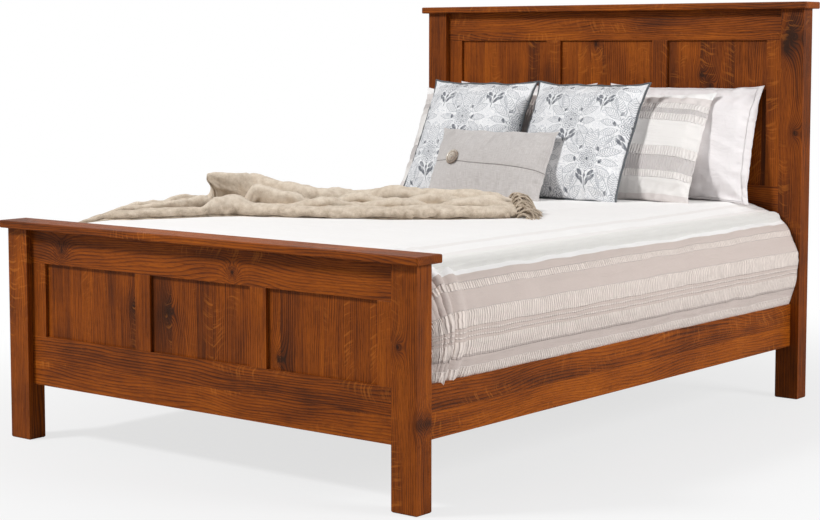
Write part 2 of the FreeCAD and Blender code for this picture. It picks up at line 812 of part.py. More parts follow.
def make_stem(name, y):
    shaft = primitive("Cylinder", name + "_shaft",
                      {"Radius": cell("stem_radius"), "Height": cell("stem_high") - cell("pad_floor")},
                      0, y, cell("pad_floor"))
    hexagon = primitive("Prism", name + "_hexagon",
                        {"Circumradius": cell("stem_hex_across") / 2 / math.cos(math.pi / 6),
                         "Height": cell("stem_hex_high")},
                        0, y, cell("pad_high") + fit)
    hexagon.Polygon = 6
    nodes.append(fuse(name, [shaft, hexagon]))


def make_pad(name, y):
    disc = primitive("Prism", name + "_disc", {"Circumradius": cell("pad_radius"), "Height": cell("pad_high")},
                     0, y, 0)
    disc.Polygon = 24
    socket = primitive("Cylinder", name + "_socket",
                       {"Radius": cell("stem_radius") + cell("running_gap"), "Height": cell("pad_high")},
                       0, y, cell("pad_floor"))
    nodes.append(cut(name, disc, socket))


def make_legs():
    inserts = []
    for number, step in enumerate(leg_steps, start=1):
        y = cell("slat_spacing") * step
        make_leg(f"centre_leg_{number}", y)
        inserts.append(make_insert(f"insert_{number}", y))
        make_stem(f"leveler_stem_{number}", y)
        make_pad(f"leveler_pad_{number}", y)
    group("leg_inserts", inserts)


make_legs()


# ---- box spring and mattress ----

def make_block(name, low, thick):
    body = new_body(name, 0, mattress_y, low)
    half_wide = cell("mattress_wide") / 2
    half_long = cell("mattress_long") / 2
    prism(body, "block", "XY_Plane", rectangle(-half_wide, -half_long, half_wide, half_long), 0, thick)
    ease_edges(body, "Fillet", "bedding_corner",
               lambda edge: edge.BoundBox.ZLength > 1)
    nodes.append(body)


make_block("box_spring", slat_top, cell("box_spring_thick"))
make_block("mattress", mattress_low, cell("mattress_thick"))


# ---- comforter, pillows and throw: soft pieces lofted from lines and arcs ----

gap = cell("soft_gap").value
top = comforter_top.value
half_mattress = cell("mattress_wide").value / 2
mattress_foot = (mattress_y - cell("mattress_long") / 2).value


def arc(first, middle, last):
    return Part.Arc(V(*first), V(*middle), V(*last)).toShape()


def line(first, last):
    return Part.LineSegment(V(*first), V(*last)).toShape()


def comforter_section(y, drawn_in, lowered):
    # One slice across the bed: flat on top, round at the shoulders, full at the sides and
    # tucked in above the side rails. The drawn-in slices round off the foot end.
    bulge = half_mattress + cell("comforter_bulge").value - drawn_in
    crown = top - lowered
    hem = side_rail_top.value + gap
    drop = crown - hem
    tuck_x = rail_inner_x.value - gap - drawn_in
    tuck_z = side_rail_top.value - cell("comforter_tuck").value
    flat = bulge - cell("comforter_bulge").value - cell("comforter_shoulder").value
    right = [
        ((flat, y, crown), (bulge - 79, y, crown - 0.13 * drop), (bulge - 9, y, crown - 0.40 * drop)),
        ((bulge - 9, y, crown - 0.40 * drop), (bulge, y, crown - 0.55 * drop),
         (bulge - 8, y, crown - 0.76 * drop)),
        ((bulge - 8, y, crown - 0.76 * drop), (bulge - 20, y, crown - 0.90 * drop),
         (bulge - 29, y, hem)),
    ]
    left = [tuple((-x, y, z) for x, y, z in reversed(points)) for points in reversed(right)]
    hem_x = bulge - 29
    edges = [line((-flat, y, crown), (flat, y, crown))]
    edges += [arc(*points) for points in right]
    edges += [
        line((hem_x, y, hem), (tuck_x, y, hem)),
        line((tuck_x, y, hem), (tuck_x, y, tuck_z)),
        line((tuck_x, y, tuck_z), (-tuck_x, y, tuck_z)),
        line((-tuck_x, y, tuck_z), (-tuck_x, y, hem)),
        line((-tuck_x, y, hem), (-hem_x, y, hem)),
    ]
    edges += [arc(*points) for points in left]
    return Part.Wire(edges)


def make_comforter():
    head_y = side_rail_long.value / 2 - cell("comforter_head_gap").value
    foot_y = mattress_foot - gap - cell("comforter_thick").value
    slices = [(head_y, 0, 0), (foot_y + 60, 0, 0), (foot_y + 22, 10, 4), (foot_y + 6, 26, 12),
              (foot_y, 46, 26)]
    body = Part.makeLoft([comforter_section(*values) for values in slices], True, True)
    inner_wide = 2 * (half_mattress + gap)
    inner = Part.makeBox(inner_wide, head_y - mattress_foot + gap + 10, mattress_top.value + gap,
                         V(-inner_wide / 2, mattress_foot - gap, 0))
    formed("comforter", body.cut(inner))


make_comforter()


def half_height(u, high):
    # The long edges are drawn in between the corners.
    return high / 2 * (1 - 0.06 * (1 - u ** 4))


def half_thickness(u, thick):
    crown = (1 - abs(u) ** 3) ** 0.6
    return max(cell("seam_thick").value / 2, thick / 2 * crown)


def skin(rings):
    # Flat three-cornered faces from each ring of points to the next, closed at both ends.
    faces = []
    for first, second in zip(rings, rings[1:]):
        for index in range(len(first)):
            a, b, c, d = first[index - 1], first[index], second[index], second[index - 1]
            for corners in ((a, b, c), (a, c, d)):
                faces.append(Part.Face(Part.makePolygon([*corners, corners[0]])))
    for ring in (rings[0], rings[-1]):
        faces.append(Part.Face(Part.makePolygon(ring + ring[:1])))
    shell = Part.makeShell(faces)
    shell.sewShape()
    return Part.makeSolid(shell)


LENS_STEPS = [-1, -0.88, -0.6, -0.3, 0, 0.3, 0.6, 0.88, 1]


def cushion(wide, high, thick):
    # Lens-shaped slices across the pillow, thick in the middle and thin at the end seams.
    slices = []
    for u in (-1, -0.93, -0.78, -0.5, 0, 0.5, 0.78, 0.93, 1):
        x = u * wide / 2
        reach = half_height(u, high)
        full = half_thickness(u, thick)
        ring = []
        for side, steps in ((-1, LENS_STEPS), (1, LENS_STEPS[::-1])):
            for w in steps[:-1]:
                ring.append(V(x, side * full * (1 - w * w), high / 2 + reach * w))
        slices.append(ring)
    return skin(slices)


PILLOWS = {
    # name: width, height, thickness, centre x, base y, lean from upright in degrees
    "back_pillow_left": ("back_pillow_wide", "back_pillow_high", "back_pillow_thick", -352, 950, 14),
    "back_pillow_right": ("back_pillow_wide", "back_pillow_high", "back_pillow_thick", 352, 950, 14),
    "sham_left": ("sham_wide", "sham_high", "sham_thick", -470, 798, 25.5),
    "sham_right": ("sham_wide", "sham_high", "sham_thick", 200, 798, 25.5),
    "square_pillow_left": ("square_pillow_side", "square_pillow_side", "square_pillow_thick",
                           -430, 668, 27.5),
    "square_pillow_right": ("square_pillow_side", "square_pillow_side", "square_pillow_thick",
                            62, 668, 27.5),
    "lumbar_pillow": ("lumbar_wide", "lumbar_high", "lumbar_thick", -205, 552, 26.5),
}


def pillow_place(base_x, base_y, lean):
    # The lower corners rest on the comforter, in front of the pillow behind.
    return base_x, base_y, top + gap, FreeCAD.Rotation(V(1, 0, 0), -lean)


for name, (wide, high, thick, base_x, base_y, lean) in PILLOWS.items():
    sizes = [cell(alias).value for alias in (wide, high, thick)]
    formed(name, cushion(*sizes), *pillow_place(base_x, base_y, lean))


def make_button():
    # The flap's button lies on the lumbar pillow's front, a quarter of the way in from the left.
    wide, high, thick = (cell(alias).value for alias in ("lumbar_wide", "lumbar_high", "lumbar_thick"))
    u = -0.5
    step = 0.05
    rise = half_thickness(u + step, thick) - half_thickness(u - step, thick)
    slope = math.degrees(math.atan2(rise, step * wide))
    turns = [math.radians(15 * index) for index in range(25)]
    rim = [V(cell("button_radius").value * math.cos(turn), cell("button_radius").value * math.sin(turn), 0)
           for turn in turns]
    disc = Part.Face(Part.makePolygon(rim)).extrude(V(0, 0, cell("button_thick").value))
    seat = V(u * wide / 2, -half_thickness(u, thick) - cell("button_gap").value, high / 2)
    on_pillow = FreeCAD.Placement(seat, FreeCAD.Rotation(V(0, 0, 1), -slope))
    facing_out = FreeCAD.Placement(V(0, 0, 0), FreeCAD.Rotation(V(1, 0, 0), 90))
    _, _, _, base_x, base_y, lean = PILLOWS["lumbar_pillow"]
    x, y, z, rotation = pillow_place(base_x, base_y, lean)
    whole = FreeCAD.Placement(V(x, y, z), rotation) * on_pillow * facing_out
    piece = doc.addObject("Part::Feature", "pillow_button")
    piece.Label = "pillow_button"
    piece.Shape = disc
    piece.Placement = whole
    nodes.append(piece)


make_button()


def throw_section(along, wide, ridge):
    # One slice across the throw: flat underneath, with three rounded folds side by side.
    start = 55 + 130 * math.exp(-((along - 400) / 230) ** 2)
    valley = 0.45
    profile = [(0, 0), (0, valley)]
    for index, crown in enumerate((0.75, 1, 0.8)):
        for share, lift in ((0.2, 0.65), (0.5, 1), (0.8, 0.65)):
            profile.append(((index + share) / 3, valley + (crown - valley) * lift))
        profile.append(((index + 1) / 3, valley))
    profile.append((1, 0))
    return [V(along, start + wide * u, ridge * v) for u, v in profile]


def make_throw():
    # It lies bunched across the bed, from the foot's left corner to beyond the middle of the right.
    long = cell("throw_long").value
    wide = cell("throw_wide").value
    slices = []
    count = 12
    for index in range(count + 1):
        along = long * index / count
        heap = cell("throw_heap").value * math.exp(-((along - 380) / 130) ** 2)
        end_taper = min(1, 0.35 + 0.65 * min(index, count - index) / 2)
        ridge = (cell("throw_ridge").value + heap) * end_taper
        slices.append(throw_section(along, wide * min(1, 0.5 + along / 500), ridge))
    formed("throw", skin(slices), -555, -950, top + gap,
           FreeCAD.Rotation(V(0, 0, 1), 41))


make_throw()


# ---- every piece is checked, then written under its own name ----

doc.recompute()
for item in doc.Objects:
    if "Invalid" in item.State or "Error" in item.State:
        raise RuntimeError(f"{item.Label} did not build: {item.State}")
os.makedirs("parts", exist_ok=True)
for piece in nodes:
    if piece.Shape.isNull() or not piece.Shape.isValid():
        raise RuntimeError(f"{piece.Label} has no valid shape")
    piece.Shape.exportStep(f"parts/{piece.Label}.step")
print(f"{len(nodes)} nodes written")
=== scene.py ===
import math
import random
from bisect import bisect_left

import bmesh
import bpy
from mathutils import Matrix, Vector, noise


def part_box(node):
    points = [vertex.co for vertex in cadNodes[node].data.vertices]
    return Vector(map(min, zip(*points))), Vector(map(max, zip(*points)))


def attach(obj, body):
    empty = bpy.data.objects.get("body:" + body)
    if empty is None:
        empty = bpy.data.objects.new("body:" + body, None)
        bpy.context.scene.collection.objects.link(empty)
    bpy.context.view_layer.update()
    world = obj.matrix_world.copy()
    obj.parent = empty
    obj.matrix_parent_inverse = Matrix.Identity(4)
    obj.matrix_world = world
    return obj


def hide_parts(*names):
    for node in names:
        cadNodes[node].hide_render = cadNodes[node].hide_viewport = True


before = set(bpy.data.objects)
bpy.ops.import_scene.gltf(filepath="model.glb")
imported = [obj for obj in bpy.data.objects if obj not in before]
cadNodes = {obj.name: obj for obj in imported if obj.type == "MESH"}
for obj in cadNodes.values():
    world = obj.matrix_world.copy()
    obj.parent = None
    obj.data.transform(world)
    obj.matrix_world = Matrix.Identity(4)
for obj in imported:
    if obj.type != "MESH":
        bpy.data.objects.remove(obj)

# A queen panel bed, made up. Metres: +X is the bed's right seen from its foot, +Y runs to the
# headboard, +Z is up.

scene = bpy.context.scene
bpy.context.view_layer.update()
random.seed(17)
print("frame loaded:", len(cadNodes), "nodes")


# shader maths written as plain sums

class Wire:
    def __init__(self, recipe, socket):
        self.recipe = recipe
        self.socket = socket

    def __add__(self, other):
        return self.recipe.maths("ADD", self, other)

    def __radd__(self, other):
        return self.recipe.maths("ADD", other, self)

    def __sub__(self, other):
        return self.recipe.maths("SUBTRACT", self, other)

    def __rsub__(self, other):
        return self.recipe.maths("SUBTRACT", other, self)

    def __mul__(self, other):
        return self.recipe.maths("MULTIPLY", self, other)

    def __rmul__(self, other):
        return self.recipe.maths("MULTIPLY", other, self)

    def __truediv__(self, other):
        return self.recipe.maths("DIVIDE", self, other)

    def __rtruediv__(self, other):
        return self.recipe.maths("DIVIDE", other, self)

    def __pow__(self, other):
        return self.recipe.maths("POWER", self, other)

    def __rpow__(self, other):
        return self.recipe.maths("POWER", other, self)

    def __abs__(self):
        return self.recipe.maths("ABSOLUTE", self)


class Recipe:
    # the nodes of one material, or of the world when there is no finish
    def __init__(self, name, finish=None):
        self.owner = (bpy.data.materials if finish else bpy.data.worlds).new(name)
        self.owner.use_nodes = True
        self.tree = self.owner.node_tree
        self.tree.nodes.clear()
        self.out = self.tree.nodes.new(f"ShaderNodeOutput{'Material' if finish else 'World'}")
        if finish:
            self.skin = self.node("BsdfPrincipled", {}, finish)
            self.show(self.skin)

    def show(self, shader):
        self.tree.links.new(shader.socket, self.out.inputs["Surface"])

    def node(self, kind, settings=None, sockets=None, output=0):
        made = self.tree.nodes.new("ShaderNode" + kind)
        for name, value in (settings or {}).items():
            if name == "stops":
                ramp = made.color_ramp
                while len(ramp.elements) < len(value):
                    ramp.elements.new(1)
                for element, (position, colour) in zip(ramp.elements, value):
                    element.position = position
                    element.color = colour
            else:
                setattr(made, name, value)
        for name, value in (sockets or {}).items():
            if isinstance(value, Wire):
                self.tree.links.new(value.socket, made.inputs[name])
            else:
                made.inputs[name].default_value = value
        return Wire(self, made.outputs[output])

    def maths(self, operation, *parts):
        kind = "Math"
        if any(isinstance(part, Wire) and part.socket.type != "VALUE" for part in parts):
            kind = "VectorMath"
            parts = [part if isinstance(part, Wire) else (part,) * 3 for part in parts]
        return self.node(kind, {"operation": operation}, dict(enumerate(parts)))

    def place(self):
        return self.node("TexCoord", output="Object")

    def flatPlace(self):         # where a point lies on the cloth's own flat coordinates
        return self.node("Attribute", {"attribute_name": "clothPlace"}, output="Vector")

    def split(self, vector, axes="XYZ"):
        return [self.node("SeparateXYZ", {}, {0: vector}, axis) for axis in axes]

    def cloud(self, where, scale=1, detail=2, roughness=0.5, warp=0):
        if isinstance(where, tuple):
            where = self.node("CombineXYZ", {}, dict(enumerate(where)))
        return self.node("TexNoise", {}, {
            "Vector": where, "Scale": scale, "Detail": detail, "Roughness": roughness,
            "Distortion": warp})

    def spots(self, *grain):
        return self.cloud(self.place(), *grain)

    def fade(self, value, low, high, start=0, end=1):
        return self.node("MapRange", {"interpolation_type": "SMOOTHSTEP"}, {
            "Value": value, "From Min": low, "From Max": high, "To Min": start, "To Max": end})

    def band(self, value, low, high, soft):
        return self.fade(value, low - soft, low + soft) * self.fade(value, high + soft, high - soft)

    def mix(self, share, first, second):
        return self.node("Mix", {"data_type": "RGBA"}, {0: share, 6: first, 7: second}, 2)

    def ramp(self, value, stops):
        return self.node("ValToRGB", {"stops": stops}, {0: value})

    def wave(self, value):
        return self.maths("SINE", value)

    def most(self, first, second):
        return self.maths("MAXIMUM", first, second)

    def hypot(self, first, second):
        return self.maths("SQRT", first ** 2 + second ** 2)

    def wear(self, colour, roughness=None, height=None, depth=0.001):
        relief = None
        if height is not None:
            relief = self.node("Bump", {}, {"Height": height, "Distance": depth})
        for socket, wire in (("Base Color", colour), ("Roughness", roughness), ("Normal", relief)):
            if wire is not None:
                self.tree.links.new(wire.socket, self.skin.socket.node.inputs[socket])
        return self.owner


def tint(red, green, blue):      # a colour as a screen shows it, 0 to 255
    parts = [part / 255 for part in (red, green, blue)]
    return tuple(part / 12.92 if part <= 0.04045 else ((part + 0.055) / 1.055) ** 2.4
                 for part in parts) + (1,)


# wood

oakLook = {
    "dark": tint(44, 19, 3), "deep": tint(92, 41, 5), "middle": tint(135, 65, 7),
    "light": tint(170, 90, 16), "flake": tint(190, 110, 36), "ringWide": 0.0052,
    "poreShade": 0.42, "flakeShade": 0.34, "roughness": 0.5, "coat": 0.02, "gloss": 0.13}
poplarLook = {
    "dark": tint(150, 120, 84), "deep": tint(178, 148, 108), "middle": tint(196, 168, 127),
    "light": tint(212, 187, 147), "flake": tint(220, 197, 160), "ringWide": 0.007,
    "poreShade": 0.25, "flakeShade": 0.05, "roughness": 0.62, "coat": 0, "gloss": 0.2}


def wood(name, look, along, seamHeight=None, knots=(), staveWide=0):
    # grain, growth rings, pores and ray flake in the board's own thickness, so ends show end grain
    r = Recipe(name, {"Coat Weight": look["coat"], "Coat Roughness": 0.3,
                      "Specular IOR Level": look["gloss"]})
    here = r.place()
    hereX, hereZ = r.split(here, "XZ")
    pick = r.node("ObjectInfo", output="Random")
    x, y, z = r.split(here + pick * 31)
    length, first, second = {"x": (x, y, z), "y": (y, x, z), "z": (z, x, y)}[along]
    shift = (pick - 0.5) * 0.07      # each board, stave and knot is a little lighter or darker
    if seamHeight is not None:       # two boards glued edge to edge
        upper = r.fade(hereZ, seamHeight - 0.0005, seamHeight + 0.0005)
        first = first + upper * 3.7
        shift = shift + (upper - 0.5) * -0.07
    if staveWide:                    # a panel glued up from narrow staves of uneven width
        count = r.maths("FLOOR", hereX / staveWide + r.wave(hereX * 19 + 1) * 0.38)
        stave = r.node("TexWhiteNoise", {"noise_dimensions": "1D"}, {
            "W": count + r.maths("FLOOR", pick * 90)})
        first = first + stave * 5
        shift = shift + (stave - 0.5) * 0.11
    if knots:
        pull = 0
        eye = 0
        for knotX, knotZ, knotWide in knots:
            gap = r.hypot(hereX - knotX, (hereZ - knotZ) * 0.7)
            pull = pull + r.maths("EXPONENT", gap * (-1 / (knotWide * 2.6)))
            eye = eye + r.fade(gap + r.cloud(here, 160) * knotWide, knotWide * 1.5, knotWide)
        first = first + pull * 0.05
        shift = shift - pull * 0.22

    def run(fine, long, **more):     # a cloud drawn out along the grain
        return r.cloud((first * fine, second * fine, length * long), **more)

    sway = run(4, 1.3) - 0.5
    across = first * 0.8 + second * 0.6 + sway * 0.07
    width = run(20, 0.9, detail=1)
    rings = r.maths("FRACT", across / look["ringWide"] + width * 3)
    late = r.fade(rings, 0.35, 0.9) * r.fade(rings, 1, 0.93)
    streak = run(150, 4, detail=3, roughness=0.65)
    broad = run(11, 1.6, detail=3, roughness=0.6)
    stain = r.cloud(here, 5.5)       # where the stain took more deeply
    pores = r.fade(run(820, 34, detail=1), 0.56, 0.7)
    bow = run(9, 2, detail=1) * 0.16
    ribbon = r.cloud((first * 15, second * 15, (length + bow) * 105), warp=0.5)
    patch = run(9, 2.4, detail=1)
    flake = r.fade(ribbon, 0.53, 0.66) * r.fade(patch, 0.5, 0.66)
    tone = streak * 0.36 + broad * 0.48 + stain * 0.26 - late * 0.14 - 0.03 + shift
    colour = r.ramp(tone, [(0.22, look["dark"]), (0.38, look["deep"]), (0.52, look["middle"]),
                           (0.74, look["light"])])
    colour = r.mix(pores * look["poreShade"], colour, look["dark"])
    colour = r.mix(flake * look["flakeShade"], colour, look["flake"])
    if seamHeight is not None:
        joint = r.band(hereZ, seamHeight - 0.0006, seamHeight + 0.0006, 0.0004)
        colour = r.mix(joint * 0.7, colour, look["dark"])
    if knots:
        colour = r.mix(eye * 0.85, colour, look["dark"])
    roughness = look["roughness"] + pores * 0.2 - flake * 0.06 + broad * 0.08
    return r.wear(colour, roughness, streak * 0.3 - pores * 0.8 - late * 0.25, 0.0004)


def grainOf(name):
    if "side_rail" in name or "ledger" in name:
        return "y"
    if any(word in name for word in ("post", "stile", "mullion", "panel", "leg")):
        return "z"
    return "x"


def dress(name, material):
    node = cadNodes[name]
    if not node.material_slots:
        node.data.materials.append(material)
    for slot in node.material_slots:
        slot.material = material


def modify(piece, name, kind, **settings):
    modifier = piece.modifiers.new(name, kind)
    for setting, value in settings.items():
        setattr(modifier, setting, value)


def easeEdges(name, wide):       # softens a sawn piece's corners
    modify(cadNodes[name], "weld", "WELD", merge_threshold=0.00005)
    modify(cadNodes[name], "edge", "BEVEL", width=wide, segments=2, limit_method="ANGLE",
           angle_limit=math.radians(35), use_clamp_overlap=False)


def middleHeight(name):
    low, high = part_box(name)
    return (low.z + high.z) / 2


# boards with a look of their own: grain, height of the glued seam, knots as x, z and radius, and
# the width of a panel's staves
oakTable = {
    "side_rail_left": ("y", middleHeight("side_rail_left")),
    "footboard_bottom_rail": ("x", middleHeight("footboard_bottom_rail")),
    "footboard_top_rail": ("x", None, ((-0.598, 0.612, 0.007), (0.137, 0.6, 0.006))),
    "footboard_panel_left": ("z", None, ((-0.284, 0.465, 0.006),), 0.07),
    "footboard_panel_centre": ("z", None, ((-0.134, 0.461, 0.008),), 0.075),
    "footboard_panel_right": ("z", None, ((0.307, 0.366, 0.009),), 0.066),
    "headboard_panel_left": ("z", None, (), 0.07),
    "headboard_panel_centre": ("z", None, ((-0.048, 1.251, 0.007),), 0.08),
    "headboard_panel_right": ("z", None, ((0.408, 1.14, 0.008), (0.445, 1.1, 0.006)), 0.085),
    "head_post_right": ("z", None, ((0.79, 1.28, 0.01), (0.764, 1.237, 0.013), (0.8, 0.94, 0.007),
                                    (0.782, 0.56, 0.006))),
    "foot_post_right": ("z", None, ((0.764, 0.449, 0.006), (0.835, 0.245, 0.005)))}
oakSpecial = {name: wood("oak_" + name, oakLook, *board) for name, board in oakTable.items()}
oakSpecial["side_rail_right"] = oakSpecial["side_rail_left"]
oakBoards = {along: wood(f"oak_along_{along}", oakLook, along) for along in "xyz"}
supportBoards = {along: wood(f"poplar_along_{along}", poplarLook, along) for along in "xyz"}
beech = wood("beech_tenons", poplarLook, "z")


def metal(name, colour, roughness, streaky):
    r = Recipe(name, {"Metallic": 1})
    x, y, z = r.split(r.place())
    brushed = r.cloud((x * 90, y * 90, z * 900))
    worn = r.spots(60, 3)
    shade = r.mix(worn * 0.5, colour, tuple(part * 0.55 for part in colour[:3]) + (1,))
    return r.wear(shade, roughness + brushed * streaky, brushed, 0.0001)


def plastic(name, colour):
    r = Recipe(name, {"Specular IOR Level": 0.4})
    grain = r.spots(900)
    return r.wear(r.mix(grain * 0.3, colour, tint(58, 58, 60)), 0.5 + grain * 0.2, grain, 0.0002)


plateSteel = metal("plate_steel", tint(150, 150, 152), 0.3, 0.25)
zincSteel = metal("zinc_steel", tint(182, 180, 170), 0.25, 0.2)
padPlastic = plastic("pad_plastic", tint(34, 34, 36))

for name in cadNodes:
    if name.startswith(("foot", "head", "side_rail")):
        dress(name, oakSpecial.get(name, oakBoards[grainOf(name)]))
        easeEdges(name, 0.0012)
    elif name.startswith(("ledger", "slat", "centre_leg")):
        dress(name, supportBoards[grainOf(name)])
        easeEdges(name, 0.001)
    elif name == "cap_tenons":
        dress(name, beech)
    elif name in ("rail_hook_plates", "post_slot_plates"):
        dress(name, plateSteel)
    elif name.startswith(("bracket", "frame_screws", "leg_inserts", "leveler_stem")):
        dress(name, zincSteel)
    elif name.startswith("leveler_pad"):
        dress(name, padPlastic)
print("wood and fittings dressed")


# soft goods: shared tools

def put(name, data):
    item = bpy.data.objects.new(name, data)
    scene.collection.objects.link(item)
    return item


def newPiece(name, vertices, faces, material, places=None):
    mesh = bpy.data.meshes.new(name)
    mesh.from_pydata(vertices, [], faces)
    mesh.materials.append(material)
    mesh.polygons.foreach_set("use_smooth", [True] * len(mesh.polygons))
    if places:                   # the cloth's own flat coordinates, for stripes and prints
        stored = mesh.attributes.new("clothPlace", "FLOAT_VECTOR", "POINT")
        stored.data.foreach_set("vector", [part for place in places for part in place])
    piece = put(name, mesh)
    return piece


def gridFaces(rows, columns):
    corners = [row * columns + column for row in range(rows - 1) for column in range(columns - 1)]
    return [(a, a + 1, a + columns + 1, a + columns) for a in corners]


class Trail:
    # a smooth line through all the points, which can be read by the distance along it
    def __init__(self, points, steps=10):
        ends = [points[0], *points, points[-1]]
        self.points = []
        for before, first, second, after in zip(ends, ends[1:], ends[2:], ends[3:]):
            for step in range(steps):
                t = step / steps
                self.points.append(tuple(
                    0.5 * (2 * b + (c - a) * t + (2 * a - 5 * b + 4 * c - d) * t * t
                           + (3 * b - a - 3 * c + d) * t ** 3)
                    for a, b, c, d in zip(before, first, second, after)))
        self.points.append(points[-1])
        self.marks = [0]
        for first, second in zip(self.points, self.points[1:]):
            self.marks.append(self.marks[-1] + math.dist(first, second))
        self.long = self.marks[-1]

    def at(self, distance):
        distance = min(max(distance, 0), self.long)
        index = bisect_left(self.marks, distance, 1)
        span = self.marks[index] - self.marks[index - 1]
        t = (distance - self.marks[index - 1]) / span if span else 0
        return [a + (b - a) * t for a, b in zip(self.points[index - 1], self.points[index])]


def swell(where, *scales):       # smooth noise from -1 to 1
    spread = [part * scale for part, scale in zip(where, scales or (1, 1, 1))]
    return noise.noise(Vector(spread + [0] * (3 - len(spread))))


def bell(value, centre, wide):
    return math.exp(-((value - centre) / wide) ** 2)


def cottonFinish(sheen=0.15):
    return {"Roughness": 0.9, "Sheen Weight": sheen, "Sheen Roughness": 0.5,
            "Specular IOR Level": 0.2}


# comforter

comforter = {
    "halfFlat": 0.597, "headY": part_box("comforter")[1].y, "footBend": -0.9508,
    "sideDrop": [(0, 0.682), (0.064, 0.666), (0.14, 0.637), (0.182, 0.597), (0.209, 0.533),
                 (0.217, 0.509), (0.214, 0.433), (0.197, 0.374), (0.187, 0.341), (0.178, 0.336),
                 (0.1745, 0.303)],
    "footDrop": [(0, 0.682), (0.034, 0.676), (0.052, 0.656), (0.058, 0.62), (0.059, 0.55),
                 (0.058, 0.45), (0.056, 0.36), (0.05, 0.303)],
    "cell": 0.011, "dropCells": 46, "thick": 0.011,
    "white": tint(243, 242, 241), "pale": tint(234, 231, 229), "gray": tint(203, 189, 182),
    "ruffle": tint(246, 233, 224), "line": tint(204, 188, 180)}

# distances down from the top's edge: each band's start, end and cloth
comforterBands = [
    (0.183, 0.207, "gray"), (0.207, 0.227, "ruffle"), (0.227, 0.285, "gray"),
    (0.285, 0.412, "ruffle"), (0.329, 0.338, "line"), (0.343, 0.353, "line"),
    (0.358, 0.366, "line"), (0.405, 0.442, "gray"), (0.442, 0.53, "ruffle"),
    (0.03, 0.05, "pale"), (0.09, 0.12, "pale")]


def stripedCotton(name, look, bands, downAndAlong):
    # woven bands beside puckered ones, whose small pleats run across the band
    r = Recipe(name, cottonFinish())
    down, side = downAndAlong(r)
    edge = down + r.spots(9, 1) * 0.006 - 0.003
    drift = r.cloud((side * 22, down * 14, 0)) * 9
    pleats = r.wave(side * 640 + drift) * 0.5 + 0.5
    gathers = r.cloud((side * 210, down * 26, 0), roughness=0.6)
    pucker = r.fade(pleats * 0.45 + gathers * 0.75, 0.3, 0.78)
    colour = r.mix(r.spots(5) * 0.25, look["white"], look["pale"])
    puckered = 0
    for low, high, kind in bands:
        mask = r.band(edge, low, high, 0.0012)
        if kind == "ruffle":
            puckered = puckered + mask
            # painted shade: in the puckered bands the pleats' hollows are coloured grayer and their
            # crests lighter, following the pucker that raises the bump
            colour = r.mix(mask, colour, r.mix(pucker * 0.7 + 0.3, look["gray"], look["ruffle"]))
        else:
            colour = r.mix(mask, colour, look[kind])
            puckered = puckered - mask * 0.8 if kind == "line" else puckered
    slub = r.cloud((side * 60, down * 1400, 0))
    colour = r.mix(slub * 0.16, colour, look["gray"])
    weave = r.wave(side * 5200) * r.wave(down * 5200)
    wrinkles = r.cloud((side * 7, down * 46, 0), 1, 3, 0.55, 0.5)
    rumples = r.spots(24, 3, 0.55, 0.6)
    height = puckered * pucker * 1.5 + wrinkles * 1.5 + rumples * 0.7 + weave * 0.03
    return r.wear(colour, None, height, 0.0024)


def makeComforter():
    look = comforter
    side = Trail(look["sideDrop"])
    foot = Trail(look["footDrop"])
    flatCells = round(2 * look["halfFlat"] / look["cell"])
    flatLong = look["headY"] - look["footBend"]
    longCells = round(flatLong / look["cell"])
    drop = look["dropCells"]
    columns = flatCells + 2 * drop + 1
    rows = longCells + drop + 1
    points = []
    places = []
    for row in range(rows):
        pastFoot = max(0, row - longCells) / drop
        y = look["headY"] - flatLong * min(row, longCells) / longCells
        for column in range(columns):
            offset = column - drop - flatCells / 2
            hand = -1 if offset < 0 else 1
            pastSide = max(0, abs(offset) - flatCells / 2) / drop
            flatX = hand * look["halfFlat"] * min(1, abs(offset) / (flatCells / 2))
            down = max(pastSide, pastFoot)
            turn = math.atan2(pastFoot, pastSide) if down else 0
            share = turn / (math.pi / 2)
            outSide, sideZ = side.at(down * side.long)
            outFoot, footZ = foot.at(down * foot.long)
            square = 0.75 / max(math.cos(turn), math.sin(turn)) + 0.25
            points.append((flatX + hand * outSide * math.cos(turn) * square,
                           y - outFoot * math.sin(turn) * square,
                           sideZ * (1 - share) + footZ * share))
            places.append((pastSide * side.long, y - pastFoot * foot.long, flatX))
    material = stripedCotton("comforter_cotton", look, comforterBands,
                             lambda r: r.split(r.flatPlace(), "XY"))
    piece = newPiece("comforter_cloth", points, gridFaces(rows, columns), material,
                     places)
    normals = [vertex.normal.copy() for vertex in piece.data.vertices]
    for vertex, normal, (down, along, flatX) in zip(piece.data.vertices, normals, places):
        where = vertex.co.copy()
        middle = math.sin(math.pi * min(1, down / side.long)) if down else 0
        lift = 0.0035 * swell(where, 2.4, 1.7, 4) + 0.0018 * swell(where, 9, 6, 9)
        lift += middle * (0.008 * swell(where, 1, 5.5, 1.5) + 0.004 * swell(where, 3, 14, 5))
        ridge = 1 - abs(swell(where, 2.2, 1.1, 2) * 2)
        lift += 0.003 * max(0, ridge) ** 3 * (1 - middle)
        crinkle = 1 - abs(swell((down, along), 17, 3.2)) * 2.4
        lift += 0.0035 * middle * max(0, crinkle) ** 2
        corner = bell(along, look["footBend"] - 0.01, 0.09) * min(1, down / 0.1)
        lift += 0.011 * corner * math.sin(along * 95 + down * 6)
        if normal.z < 0:
            normal = -normal
            lift = -lift
        vertex.co = where + normal * (lift + 0.001)
    modify(piece, "filling", "SOLIDIFY", thickness=look["thick"],
           offset=1 if piece.data.polygons[0].normal.z < 0 else -1)
    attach(piece, "bed")
    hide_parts("comforter")


makeComforter()
print("comforter made")


# mattress and box spring

bedding = {
    "corner": 0.03, "tickingWhite": tint(236, 234, 230), "tickingGray": tint(206, 204, 200),
    "boxCloth": tint(214, 211, 204), "piping": 0.004}


